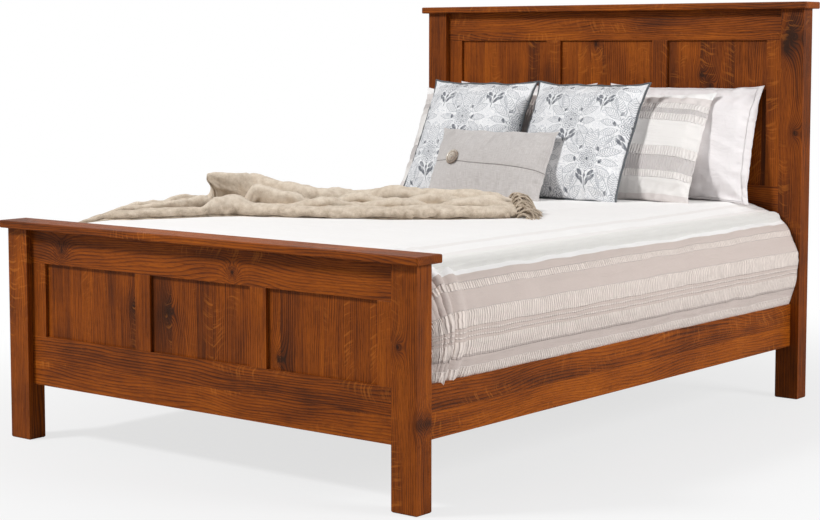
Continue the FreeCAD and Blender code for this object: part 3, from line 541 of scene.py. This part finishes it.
def ticking(name, look, quilted):
    r = Recipe(name, cottonFinish())
    x, y, z = r.split(r.place())
    diamond = r.wave((x + y) * 40) * r.wave((x - y) * 40)
    channels = abs(r.wave(z * 90))
    weave = r.wave((x + y) * 3800) * r.wave(z * 3800)
    height = (diamond * 0.5 + channels * 0.6 if quilted else weave * 0.1) + weave * 0.05
    speckle = r.spots(420)
    ground = look["tickingWhite" if quilted else "boxCloth"]
    return r.wear(r.mix(speckle * 0.5, ground, look["tickingGray"]), None, height, 0.004)


def beddingBlock(name, node, material, sag):
    # a padded block: edges rolled, sides a little full between the seams
    low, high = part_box(node)
    middle = (low + high) / 2
    half = (high - low) / 2
    mesh = bmesh.new()
    bmesh.ops.create_cube(mesh, size=2)
    bmesh.ops.subdivide_edges(mesh, edges=mesh.edges[:], cuts=9, use_grid_fill=True)
    mesh.verts.index_update()
    points = []
    for vertex in mesh.verts:
        pull = 1 - sag * vertex.co.z ** 2 * 0.5
        points.append(middle + vertex.co * half * Vector((pull, pull, 1)))
    faces = [[vertex.index for vertex in face.verts] for face in mesh.faces]
    mesh.free()
    piece = newPiece(name, points, faces, material)
    modify(piece, "roll", "BEVEL", width=bedding["corner"], segments=4, limit_method="ANGLE")
    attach(piece, "bed")
    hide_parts(node)
    drop = bedding["corner"] * 0.7
    seams = [roundedLoop(middle, half, level) for level in (low.z + drop, high.z - drop)]
    pipe = pipingAlong(name + "_piping", seams, bedding["piping"], material)
    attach(pipe, "bed")


def roundedLoop(middle, half, level):    # round a block, just inside its faces
    corner = bedding["corner"]
    inset = corner + bedding["piping"] + 0.001
    points = []
    for signX, signY, start in ((1, 1, 0), (-1, 1, 90), (-1, -1, 180), (1, -1, 270)):
        for step in range(7):
            turn = math.radians(start + 15 * step)
            points.append((middle.x + signX * (half.x - inset) + corner * math.cos(turn),
                           middle.y + signY * (half.y - inset) + corner * math.sin(turn), level))
    return points


def pipingAlong(name, loops, radius, material, closed=True):
    data = bpy.data.curves.new(name, "CURVE")
    data.dimensions = "3D"
    data.bevel_depth = radius
    data.bevel_resolution = 3
    for loop in loops:
        spline = data.splines.new("POLY")
        spline.points.add(len(loop) - 1)
        for point, place in zip(spline.points, loop):
            point.co = (*place, 1)
        spline.use_cyclic_u = closed
    data.materials.append(material)
    piece = put(name, data)
    return piece


beddingBlock("mattress_pad", "mattress", ticking("mattress_ticking", bedding, True),
             0.004)
beddingBlock("box_spring_pad", "box_spring", ticking("box_spring_cloth", bedding, False),
             0.002)
print("mattress and box spring made")


# pillows

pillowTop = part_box("lumbar_pillow")[0].z
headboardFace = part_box("headboard_mullion_left")[0].y - 0.0015
pillowLook = {
    "cell": 0.0085, "frames": 18, "cap": 0.016, "pull": 0.06,
    "cloth": {"quality": 5, "mass": 0.2, "tension_stiffness": 12, "compression_stiffness": 12,
              "shear_stiffness": 4, "bending_stiffness": 0.25, "use_pressure": True,
              "uniform_pressure_force": 4, "vertex_group_mass": "seam", "shrink_min": -0.035},
    "whiteSatin": tint(240, 236, 236), "whitePaintedShade": tint(222, 216, 217),
    "whiteSeam": tint(196, 188, 188), "linen": tint(203, 197, 194),
    "linenDark": tint(172, 165, 161), "linenPale": tint(222, 218, 216),
    "linenFlapShadow": tint(120, 112, 108), "printGround": tint(238, 238, 239),
    "printGray": tint(122, 128, 138), "printDark": tint(86, 91, 100),
    "printPale": tint(176, 180, 188), "pipingDark": tint(62, 68, 68)}


def whiteCotton():
    look = pillowLook
    r = Recipe("white_cotton", {**cottonFinish(0.25), "Roughness": 0.7})
    x, z = r.split(r.place(), "XZ")
    creases = r.spots(14, 3, 0.5, 1.2)
    folds = r.cloud((x * 9, 0, z * 26), detail=3, warp=1.5)
    weave = r.wave(x * 5600) * r.wave(z * 5600)
    u, v = r.split(r.flatPlace(), "XY")
    rim = r.most(abs(u), abs(v) - 0.03)
    stitch = r.band(rim, 0.925, 0.932, 0.004)
    gathers = r.cloud((x * 80, 0, z * 80), detail=1) * r.fade(rim, 0.8, 0.93)
    # painted shade: the cotton is darker along the crease pattern that also raises the bump
    colour = r.mix(creases * 0.6, look["whiteSatin"], look["whitePaintedShade"])
    colour = r.mix(stitch * 0.45, colour, look["whiteSeam"])
    height = creases * 1.1 + folds * 0.9 + gathers * 0.6 - stitch * 0.8 + weave * 0.03
    return r.wear(colour, None, height, 0.0034)


def shamCotton(high):
    shares = [(0.08, 0.146, "gray"), (0.146, 0.2, "ruffle"), (0.2, 0.245, "line"),
              (0.245, 0.31, "ruffle"), (0.31, 0.536, "pale"), (0.536, 0.616, "ruffle"),
              (0.616, 0.742, "line"), (0.742, 0.8, "ruffle"), (0.8, 0.92, "pale"),
              (0.92, 1.01, "gray")]
    bands = [(start * high, end * high, kind) for start, end, kind in shares]

    def downAndAlong(r):
        x, z = r.split(r.place(), "XZ")
        return high - z, x

    look = {**comforter, "line": tint(203, 197, 195), "gray": tint(218, 211, 208),
            "ruffle": tint(238, 233, 229), "pale": tint(232, 229, 226)}
    return stripedCotton("sham_cotton", look, bands, downAndAlong)


def ribbedLinen():
    look = pillowLook
    r = Recipe("ribbed_cotton", cottonFinish(0.2))
    x, z = r.split(r.place(), "XZ")
    u, v, side = r.split(r.flatPlace())
    ribs = r.wave(z * 1650 + r.spots(20, 1) * 4)
    slubs = r.cloud((x * 40, 0, z * 900), detail=3, roughness=0.65)
    warp = r.cloud((x * 700, 0, z * 30), detail=3, roughness=0.65)
    cross = r.wave(x * 3600)
    shade = r.spots(9)
    colour = r.mix(r.fade(slubs * 0.5 + warp * 0.5, 0.36, 0.66), look["linenDark"],
                   look["linenPale"])
    colour = r.mix(0.4, colour, r.mix(shade, look["linen"], look["linenPale"]))
    # painted shade: the cloth is darker down in the troughs between the ribs
    colour = r.mix(r.fade(ribs, 0.2, -0.9) * 0.2, colour, look["linenDark"])
    # painted shadow: a dark line on the front just under the flap's free edge
    flap = v + u * 0.08 + 0.1 + (1 - u ** 2) * 0.03
    front = r.fade(side, 0, -0.5)
    seam = r.band(flap, -0.022, -0.003, 0.006) * front
    colour = r.mix(seam * 0.8, colour, look["linenFlapShadow"])
    return r.wear(colour, None, ribs * 0.4 + slubs * 0.6 + cross * 0.06 - seam * 1.5, 0.0012)


# an everyday damask drawn in fine lines: a lobed flower, plumes round it and a fan of small leaves
# under it, set half a drop apart. A leaf has its foot's x and z, turn, length and half width.
damask = {
    "repeat": (0.226, 0.3),
    "plumes": [(0.006, 0.036, 84, 0.082, 0.017), (0.024, 0.032, 58, 0.088, 0.016),
               (0.034, 0.016, 30, 0.078, 0.015), (0.036, -0.004, 2, 0.068, 0.013),
               (0.034, -0.022, -30, 0.07, 0.014), (0.022, -0.036, -62, 0.08, 0.014)],
    "sprigs": [(0.004, -0.052, -118, 0.03, 0.007), (0.008, -0.062, 44, 0.036, 0.008),
               (0.016, -0.078, 52, 0.034, 0.007), (0.004, -0.092, 66, 0.036, 0.007),
               (0.04, 0.03, 120, 0.022, 0.006), (0.044, -0.014, 66, 0.024, 0.006)]}


def damaskCotton():
    look = pillowLook
    r = Recipe("print_cotton", cottonFinish())
    x, z = r.split(r.place(), "XZ")
    bend = r.spots(30) * 0.008 - 0.004
    wide, high = damask["repeat"]

    def leaf(px, pz, fromX, fromZ, turn, long, fat):
        # how far inside a pointed leaf, off its rib and up its length
        c = math.cos(math.radians(turn))
        s = math.sin(math.radians(turn))
        u = ((px - fromX) * c + (pz - fromZ) * s) / long
        v = abs((pz - fromZ) * c - (px - fromX) * s) / fat
        return 1 - (u * 2 - 1) ** 2 - v, v, u

    fine = 0
    dark = 0
    for shiftX, shiftZ in ((0, 0), (wide / 2, high / 2)):
        cellX = r.maths("FLOORED_MODULO", x + bend + wide * 8 + shiftX, wide) - wide / 2
        cellZ = r.maths("FLOORED_MODULO", z + bend + high * 8 + shiftZ, high) - high / 2
        px = abs(cellX)
        reach = r.hypot(cellX, cellZ * 0.86)
        angle = r.maths("ARCTAN2", cellX, cellZ)
        lobes = abs(r.wave(angle * 4.5)) * 0.008
        petals = r.wave((reach - lobes) * 900) * r.fade(reach - lobes, 0.034, 0.03)
        seeds = r.fade(r.wave(angle * 15) * r.wave(reach * 560), 0.25, 0.6)
        heart = r.fade(reach - lobes, 0.026, 0.02)
        fine = r.most(fine, r.fade(petals, 0.1, 0.7) * 0.85)
        dark = r.most(dark, heart * seeds * 0.8)
        dark = r.most(dark, r.fade(reach, 0.0055, 0.004))
        for plume in damask["plumes"]:
            inside, off, up = leaf(px, cellZ, *plume)
            within = r.fade(inside, 0, 0.06)
            barbs = r.fade(r.wave(off * 9 - up * 64), 0, 0.6)
            fine = r.most(fine, within * barbs * 0.62)
            fine = r.most(fine, r.band(inside, 0.02, 0.13, 0.05) * 0.9)
        for sprig in damask["sprigs"]:
            dark = r.most(dark, r.fade(leaf(px, cellZ, *sprig)[0], 0.05, 0.3))
        stalk = r.fade(px, 0.0017, 0.0009) * r.band(cellZ, -0.11, -0.04, 0.004)
        dark = r.most(dark, stalk)
    swirl = r.cloud((x, 0, z), 17, warp=1.4)
    scrolls = r.fade(r.wave(swirl * 120), 0.3, 0.9) * (1 - r.fade(fine, 0.05, 0.4))
    blot = r.spots(75, 3)
    strength = r.fade(blot, 0.3, 0.6, 0.6, 1)
    colour = r.mix(scrolls * 0.55, look["printGround"], look["printPale"])
    colour = r.mix(fine * strength, colour, look["printGray"])
    colour = r.mix(dark * r.fade(blot, 0.2, 0.6, 0.35, 0.9), colour, look["printDark"])
    weave = r.wave(x * 4200) * r.wave(z * 4200)
    creases = r.spots(16, 3, 0.5, 0.8)
    return r.wear(colour, None, creases + weave * 0.05, 0.0024)


def cushionMesh(wide, high, thick):
    # two crowned faces that meet in one seam, drawn in between the corners
    look = pillowLook
    columns = round(wide / look["cell"]) + 1
    rows = round(high / look["cell"]) + 1
    points = []
    places = []
    faces = []
    index = {}
    for side in (-1, 1):
        for row in range(rows):
            v = -1 + 2 * row / (rows - 1)
            for column in range(columns):
                u = -1 + 2 * column / (columns - 1)
                onSeam = row in (0, rows - 1) or column in (0, columns - 1)
                if onSeam and side == 1:
                    index[side, row, column] = index[-1, row, column]
                    continue
                x = wide / 2 * u * (1 - look["pull"] * (1 - abs(v) ** 5))
                z = high / 2 * (1 + v * (1 - look["pull"] * (1 - abs(u) ** 5)))
                full = ((1 - abs(u) ** 2.6) * (1 - abs(v) ** 2.3)) ** 0.55
                index[side, row, column] = len(points)
                points.append((x, side * full * thick / 2, z))
                places.append((u, v, side))
        for row in range(rows - 1):
            for column in range(columns - 1):
                corners = [index[side, row + up, column + over]
                           for up, over in ((0, 0), (0, 1), (1, 1), (1, 0))]
                faces.append(corners if side == -1 else corners[::-1])
    top = rows - 1
    end = columns - 1
    ring = [(0, column) for column in range(end)] + [(row, end) for row in range(top)]
    ring += [(top, column) for column in range(end, 0, -1)]
    ring += [(row, 0) for row in range(top, 0, -1)]
    return points, faces, places, [index[-1, row, column] for row, column in ring]


def plump(piece, seam):          # stuffing pushes the cloth out between its seams
    look = pillowLook
    piece.vertex_groups.new(name="seam").add(seam, 1, "REPLACE")
    cloth = piece.modifiers.new("cloth", "CLOTH")
    for name, value in look["cloth"].items():
        setattr(cloth.settings, name, value)
    cloth.settings.effector_weights.gravity = 0
    cloth.point_cache.frame_start = 1
    cloth.point_cache.frame_end = look["frames"]
    for step in range(1, look["frames"] + 1):
        scene.frame_set(step)
    shaped = piece.evaluated_get(bpy.context.evaluated_depsgraph_get())
    after = [vertex.co.copy() for vertex in shaped.data.vertices]
    piece.modifiers.remove(cloth)
    scene.frame_set(1)
    piece.vertex_groups.clear()
    for vertex, end in zip(piece.data.vertices, after):
        move = end - vertex.co
        if move.length > look["cap"]:
            move *= look["cap"] / move.length
        vertex.co += move
    piece.data.update()


def rumple(piece, places, kind, seed):
    # short gathers run in from the seams, creases from the corners, and the outline wavers
    wide, high = kind["size"][:2]
    for vertex, (u, v, side) in zip(piece.data.vertices, places):
        edgeU = 1 - abs(u)
        edgeV = 1 - abs(v)
        edge = min(edgeU, edgeV)
        along = u * wide if edgeV < edgeU else v * high
        gather = math.exp(-edge / 0.14) * min(1, edge / 0.03)
        push = 0.0035 * gather * swell((along * 26, edge * 2, side + seed))
        push += 0.005 * swell((u * 1.7 + seed, v * 1.9, side)) * min(1, edge / 0.2)
        reach = math.hypot(edgeU, edgeV)
        turn = math.atan2(edgeV, edgeU)
        fan = bell(reach, 0.3, 0.2) * math.cos(turn * 9 + seed * 2 + 3 * swell((u, v), 2, 2))
        ridge = 1 - 2.2 * abs(swell((u * 1.3 + v * 2.1 + seed, v - u), 1.3, 0.5))
        push += kind["crease"] * (fan + 0.8 * max(0, ridge) ** 2 * min(1, edge / 0.15))
        vertex.co.y += side * push if edge > 0 else 0.002 * swell((along * 20, seed))
        rim = math.exp(-edge / 0.12)
        vertex.co.z += 0.007 * rim * edgeU ** 0.3 * swell((u * 3.2 + seed, v))
        vertex.co.x += 0.006 * rim * edgeV ** 0.3 * swell((v * 3.6 - seed, u))
    piece.data.update()


def makePillow(node, kind, baseX, baseY, lean):
    points, faces, places, ring = cushionMesh(*kind["size"])
    piece = newPiece(node + "_cloth", points, faces, kind["material"], places)
    plump(piece, ring)
    rumple(piece, places, kind, baseX * 7 + 3)
    if kind.get("shape"):
        kind["shape"](piece, places)
    slope = math.radians(lean)
    for vertex in piece.data.vertices:       # a pillow flattens where it meets the headboard
        past = baseY + vertex.co.y * math.cos(slope) + vertex.co.z * math.sin(slope) - headboardFace
        if past > 0:
            vertex.co.y -= past / math.cos(slope)
    stand = Matrix.Translation((baseX, baseY, pillowTop)) @ Matrix.Rotation(-slope, 4, "X")
    piece.matrix_world = stand
    modify(piece, "finer", "SUBSURF", levels=1, render_levels=1)
    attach(piece, "bed")
    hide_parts(node)
    if kind.get("piping"):
        loop = [piece.data.vertices[number].co.copy() for number in ring]
        edge = pipingAlong(node + "_piping", [loop], kind["piping"], kind["pipingMaterial"])
        edge.matrix_world = stand
        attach(edge, "bed")
    return piece


def cordCotton(name, colour):
    r = Recipe(name, cottonFinish())
    x, z = r.split(r.place(), "XZ")
    twist = r.wave((x + z) * 1500)
    # painted light: the cord is lighter on the raised ridges of its twist and darker in the grooves
    # between them
    return r.wear(r.mix(twist * 0.2 + 0.2, colour, pillowLook["printPale"]), None, twist, 0.0006)


def flapFold(piece, places):     # the flap's free edge crosses the front, a thickness proud
    for vertex, (u, v, side) in zip(piece.data.vertices, places):
        edge = -0.1 - 0.08 * u - 0.03 * (1 - u * u)
        if side < 0 and v > edge and abs(u) < 0.985:
            vertex.co.y -= 0.0035 * min(1, (1 - v) * 6)
        if side < 0 and edge - 0.05 < v < edge:
            vertex.co.y += 0.0015


whiteKind = {"size": (0.655, 0.44, 0.09856), "material": whiteCotton(), "slot": "white_cotton",
             "crease": 0.0056}
shamKind = {"size": (0.655, 0.445, 0.0924), "material": shamCotton(0.445), "slot": "sham_cotton",
            "crease": 0.0036}
squareKind = {"size": (0.485, 0.485, 0.118), "material": damaskCotton(),
              "slot": "print_cotton", "piping": 0.0036, "crease": 0.0034,
              "pipingMaterial": cordCotton("dark_piping", pillowLook["pipingDark"])}
lumbarKind = {"size": (0.535, 0.29, 0.09), "material": ribbedLinen(), "slot": "ribbed_cotton",
              "shape": flapFold, "crease": 0.0014}

# each pillow's kind, its foot's middle and how far it leans back
pillowSpots = {
    "back_pillow_left": (whiteKind, -0.352, 0.95, 14),
    "back_pillow_right": (whiteKind, 0.352, 0.95, 14),
    "sham_left": (shamKind, -0.47, 0.798, 25.5), "sham_right": (shamKind, 0.2, 0.798, 25.5),
    "square_pillow_left": (squareKind, -0.43, 0.668, 27.5),
    "square_pillow_right": (squareKind, 0.062, 0.668, 27.5),
    "lumbar_pillow": (lumbarKind, -0.205, 0.552, 26.5)}
pillows = {node: makePillow(node, *spot) for node, spot in pillowSpots.items()}
print("pillows made")


# the flap's button

button = {"radius": 0.029, "high": 0.003, "rim": 0.0042, "holeOut": 0.0045,
          "holeRadius": 0.0021, "seat": (-0.134, 0.145), "rings": 14, "spokes": 48,
          "dark": tint(84, 68, 54), "middle": tint(142, 124, 106), "light": tint(206, 196, 182)}


def buttonShell():
    r = Recipe("button_shell", {"Coat Weight": 0.5})
    x, y = r.split(r.place(), "XY")
    swirl = r.spots(90, 4, 0.6, 2.2)
    lines = r.wave(swirl * 30)
    reach = r.hypot(x, y) / button["radius"]
    # painted light: the shell is lighter towards its upper left, the side facing the lamp, and
    # painted shade darkens a ring at the inner foot of the raised rim
    tone = swirl * 0.8 + lines * 0.04 + 0.07 + (y - x) * 5 - r.band(reach, 0.62, 0.74, 0.04) * 0.14
    colour = r.ramp(tone, [(0.2, button["dark"]), (0.42, button["middle"]),
                           (0.62, button["light"])])
    return r.wear(colour, 0.3 + lines * 0.05, lines, 0.0002)


def makeButton():
    lumbar = pillows["lumbar_pillow"]
    front = [vertex for vertex in lumbar.data.vertices if vertex.co.y < 0]
    seat = min(front, key=lambda vertex: math.dist((vertex.co.x, vertex.co.z), button["seat"]))
    look = button
    rings = look["rings"]
    spokes = look["spokes"]
    points = [(0, 0, look["high"])]
    for ring in range(1, rings + 1):
        reach = look["radius"] * ring / rings
        for spoke in range(spokes):
            turn = 2 * math.pi * spoke / spokes
            x = reach * math.cos(turn)
            y = reach * math.sin(turn)
            z = look["high"] + 0.0026 * bell(reach, look["radius"] - look["rim"], look["rim"] / 2)
            z *= 1 if ring < rings else 0.5
            for hand in (-1, 1):
                if math.hypot(x - hand * look["holeOut"], y) < look["holeRadius"]:
                    z = 0.0005
            points.append((x, y, z))
    low = len(points)
    points += [(x * 0.98, y * 0.98, 0) for x, y, z in points[low - spokes:low]]
    points.append((0, 0, 0))
    faces = [(0, 1 + spoke, 1 + (spoke + 1) % spokes) for spoke in range(spokes)]
    for ring in range(rings):
        for spoke in range(spokes):
            a = 1 + ring * spokes + spoke
            b = a - spoke + (spoke + 1) % spokes
            faces.append((a, a + spokes, b + spokes, b))
    faces += [(low + (spoke + 1) % spokes, low + spoke, len(points) - 1) for spoke in range(spokes)]
    piece = newPiece("flap_button", points, faces, buttonShell())
    turned = Vector((0, 0, 1)).rotation_difference(seat.normal).to_matrix().to_4x4()
    piece.matrix_world = lumbar.matrix_world @ Matrix.Translation(
        seat.co + seat.normal * 0.0012) @ turned
    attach(piece, "bed")
    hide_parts("pillow_button")
    hold = button["holeOut"]
    arch = ((-1, 0.0005), (-0.8, 0.0042), (0.8, 0.0042), (1, 0.0005))
    stitches = [[(hold * share, lane, high) for share, high in arch] for lane in (-0.0006, 0.0006)]
    thread = pipingAlong("flap_button_thread", stitches, 0.0005, lumbarKind["material"],
                         closed=False)
    thread.matrix_world = piece.matrix_world
    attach(thread, "bed")


makeButton()
print("button made")


# throw

throw = {
    "start": Vector((-0.555, -0.95, 0.6818)), "turn": math.radians(41), "long": 1.31,
    "cut": (1.27, 1.52), "wide": 0.36, "thick": 0.0045, "rows": 250,
    "columns": 320, "fringeLong": 0.092, "tassels": 90,
    "light": tint(222, 209, 192), "middle": tint(200, 184, 165), "dark": tint(158, 141, 121)}

# where the gathered folds run, in thousandths: how far along, then each fold's share of the width
# across, its width, its height and how far its crest tips towards the near side
throwFolds = [
    (0, (200, 70, 14, 0), (420, 60, 20, 0), (640, 60, 24, 0), (880, 60, 18, 0)),
    (120, (130, 80, 22, 0), (400, 60, 34, 10), (640, 80, 46, 20), (900, 70, 36, 10)),
    (220, (120, 90, 28, 10), (380, 70, 50, 30), (640, 60, 34, 0), (870, 80, 62, 20)),
    (290, (120, 80, 24, 10), (400, 80, 56, 30), (640, 50, 26, 0), (880, 80, 50, 0)),
    (345, (100, 70, 52, 20), (300, 50, 28, 0), (550, 50, 10, 0), (840, 100, 118, 100)),
    (400, (150, 80, 60, 15), (360, 50, 24, 10), (560, 50, 20, 0), (800, 100, 124, 70)),
    (470, (140, 80, 36, 0), (330, 50, 24, 0), (540, 80, 88, 50), (840, 90, 112, 20)),
    (560, (100, 70, 34, 0), (320, 50, 30, 0), (500, 80, 70, 40), (800, 80, 90, 30)),
    (680, (100, 80, 30, 0), (340, 70, 58, 35), (560, 50, 30, 0), (840, 80, 74, 30)),
    (800, (140, 90, 34, 0), (420, 60, 34, 0), (660, 80, 70, 50), (900, 60, 66, 0)),
    (920, (100, 70, 30, 0), (340, 80, 58, 35), (560, 50, 36, 0), (840, 80, 78, 30)),
    (1040, (130, 90, 36, 0), (380, 50, 34, 0), (560, 80, 68, 45), (860, 70, 70, 10)),
    (1160, (120, 80, 34, 0), (360, 70, 54, 30), (620, 50, 44, 0), (860, 70, 68, 20)),
    (1260, (140, 80, 34, 0), (400, 60, 44, 10), (620, 70, 50, 10), (860, 70, 56, 0)),
    (1310, (200, 70, 28, 0), (420, 60, 36, 0), (620, 60, 40, 0), (840, 70, 38, 0))]
throwFolds = [(along / 1000, *[[part / 1000 for part in fold] for fold in folds])
              for along, *folds in throwFolds]

# one fold in section, narrow at its foot and full above, as shares of its width and height
foldSection = [(-0.16, 0), (-0.4, 0.1), (-0.53, 0.42), (-0.42, 0.78), (-0.1, 1), (0.2, 0.97),
               (0.46, 0.74), (0.52, 0.38), (0.38, 0.1), (0.16, 0)]


def throwPlush():
    look = throw
    r = Recipe("throw_chenille", {**cottonFinish(0.4), "Sheen Tint": tint(222, 210, 196)})
    high = r.split(r.flatPlace(), "Z")[0]
    pile = r.spots(420, 3, 0.65)
    clumps = r.spots(48, 3, 0.6)
    # painted shade: the pile is lighter up on the folds' crests and darker down in the creases
    # between them
    tone = pile * 0.34 + clumps * 0.5 + r.fade(high, 0.01, 0.06) * 0.17 - 0.05
    colour = r.ramp(tone, [(0.26, look["dark"]), (0.44, look["middle"]), (0.6, look["light"])])
    return r.wear(colour, None, pile * 0.7 + clumps * 0.7, 0.0032)


def foldsAt(along):
    # the four folds between two rows of the table
    last = len(throwFolds) - 1
    after = next((i for i in range(1, last) if throwFolds[i][0] >= along), last)
    first, second = throwFolds[after - 1:after + 1]
    t = min(1, max(0, (along - first[0]) / (second[0] - first[0])))
    t = t * t * (3 - 2 * t)
    return [[a + (b - a) * t for a, b in zip(one, two)] for one, two in zip(first[1:], second[1:])]


def throwSection(along):
    # the cloth's line across the throw at one place along it, before it is laid on the bed
    look = throw
    wide = look["wide"] * min(1, 0.42 + along / 0.45)
    points = [(wide * share, high) for share, high in (
        (0.08, 0.002), (0.5, 0.002), (0.92, 0.002), (0.94, 0.0045), (0.92, 0.0068), (0.5, 0.0068),
        (0.06, 0.0068))]
    for number, (share, broad, high, tip) in enumerate(foldsAt(along)):
        share += 0.03 * swell((along, number * 3), 3.6, 1)
        high *= 1 + 0.14 * swell((along, number * 3 + 1), 7, 1)
        broad *= min(1, 0.5 + along) * (1 + 0.16 * swell((along, number * 3 + 2), 5, 1))
        for sideways, up in foldSection:
            points.append((wide * share + broad * sideways - tip * up * up, 0.0115 + high * up))
    return Trail(points)


def throwPoint(section, along, across):
    look = throw
    near = 0.055 + 0.13 * bell(along, 0.4, 0.23)
    offset, high = section.at(across * section.long)
    where = (along, across)
    rough = 0.0035 * swell((*where, 3), 16, 46, 1) + 0.0015 * swell(where, 60, 90)
    rough += 0.0055 * (1 - 2.5 * abs(swell((along * 1.6 + offset * 3, along - offset), 7, 3)))
    crest = max(0, high - 0.05) / 0.06
    drift = 0.012 * swell(where, 3, 4) - 0.055 * bell(along, 0.37, 0.06) * min(1, crest) ** 2
    tail = -0.1 * max(0, 1 - along / 0.3) ** 2
    flat = Vector((along + drift + tail, near + offset + rough, 0))
    place = look["start"] + Matrix.Rotation(look["turn"], 3, "Z") @ flat
    overSide = max(0, abs(place.x) - comforter["halfFlat"])
    overFoot = max(0, comforter["footBend"] - place.y)
    place.z += high + abs(rough) * min(1, high / 0.01) - 3.9 * overSide ** 2 - 9 * overFoot ** 2
    return place


def makeThrow():
    look = throw
    rows = look["rows"]
    columns = look["columns"]
    points = []
    places = []
    for row in range(rows):
        along = look["long"] * row / (rows - 1)
        section = throwSection(along)
        for column in range(columns):
            across = column / (columns - 1)
            points.append(throwPoint(section, along, across))
            places.append((along, across * look["cut"][0], section.at(across * section.long)[1]))
    plush = throwPlush()
    piece = newPiece("throw_cloth", points, gridFaces(rows, columns), plush,
                     places)
    modify(piece, "pile", "SOLIDIFY", thickness=look["thick"], offset=0)
    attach(piece, "bed")
    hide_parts("throw")
    strands = []
    ending = throwSection(look["long"])
    for tassel in range(look["tassels"]):
        across = (tassel + 0.5) / look["tassels"]
        root = throwPoint(ending, look["long"] - 0.003, across)
        base = look["turn"] + random.uniform(-1, 1)
        high = random.uniform(0, 0.042)
        for strand in range(4):
            aim = base + random.uniform(-0.35, 0.35)
            reach = look["fringeLong"] * random.uniform(0.6, 1.15)
            strands.append(curlyStrand(root, aim, reach, high))
    fringe = pipingAlong("throw_fringe", strands, 0.0026, plush, closed=False)
    fringe.data.bevel_resolution = 1
    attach(fringe, "bed")


def curlyStrand(root, aim, reach, high):     # one twisted yarn of the fringe, falling to the bed
    floor = throw["start"].z + 0.004
    twist = random.uniform(0, 6)
    curl = random.uniform(0.003, 0.008)
    points = []
    for step in range(8):
        t = step / 7
        spin = twist + t * 7
        fall = root.z + (floor - root.z) * t ** 1.4 + high * math.sin(math.pi * t)
        points.append((root.x + math.cos(aim) * reach * t + curl * t * math.cos(spin),
                       root.y + math.sin(aim) * reach * t + curl * t * math.sin(spin),
                       max(floor, fall + curl * 0.6 * t * math.sin(spin * 1.3))))
    return points


makeThrow()
print("throw made")


# floor, lights and camera

studio = {
    "floor": tint(196, 196, 197), "floorShade": tint(190, 190, 191), "floorHalf": 40,
    "clearing": (0.9, 2.6, 0.72, 1),     # from and to which distance the floor turns white
    "worldGlow": 0.2,
    "lamps": [("key", (-2.8, -4.9, 5.2), 1.2, 440), ("right", (5.6, 0.9, 3.0), 2.2, 250)],
    "eye": (3.89395, -4.93226, 1.24459), "gaze": (-0.62545, 0.77513, -0.08938),
    "lens": 82.81, "shiftY": -0.0549}


def makeFloor():
    r = Recipe("studio_floor", {"Roughness": 0.8})
    r.wear(r.mix(r.spots(3, 1) * 0.2, studio["floor"], studio["floorShade"]))
    x, y = r.split(r.place(), "XY")
    seen = r.node("LightPath", output="Is Camera Ray")
    white = r.node("Emission", {}, {"Strength": 1})
    share = seen * r.fade(r.hypot(x, y * 0.8), *studio["clearing"])
    r.show(r.node("MixShader", {}, {0: share, 1: r.skin, 2: white}))
    mesh = bmesh.new()
    bmesh.ops.create_grid(mesh, x_segments=1, y_segments=1, size=studio["floorHalf"])
    data = bpy.data.meshes.new("studio_floor")
    mesh.to_mesh(data)
    mesh.free()
    data.materials.append(r.owner)
    floor = put("studio_floor", data)
    floor.location.z = -0.0005


def makeWorld():
    # white where the camera or a mirror looks, dimmer as a light
    r = Recipe("studio")
    scene.world = r.owner
    seen = 0
    for kind in ("Is Camera Ray", "Is Glossy Ray", "Is Transmission Ray"):
        seen = r.most(seen, r.node("LightPath", output=kind))
    glow = r.node("MapRange", {}, {"Value": seen, "To Min": studio["worldGlow"]})
    r.show(r.node("Background", {}, {"Color": (1, 1, 1, 1), "Strength": glow}))


def point(item, place, aim):
    item.location = place
    item.rotation_euler = aim.to_track_quat("-Z", "Y").to_euler()


def makeLamps():
    for name, place, size, power in studio["lamps"]:
        light = bpy.data.lights.new(name, "AREA")
        light.energy = power
        light.size = size
        point(put(name, light), place, Vector((0, 0, 0.5)) - Vector(place))


def makeCamera():
    data = bpy.data.cameras.new("camera")
    data.lens = studio["lens"]
    data.sensor_width = 36
    data.shift_y = studio["shiftY"]
    camera = put("camera", data)
    point(camera, studio["eye"], Vector(studio["gaze"]))
    scene.camera = camera


makeFloor()
makeWorld()
makeLamps()
makeCamera()
scene.view_settings.view_transform = "Standard"
print("studio made")
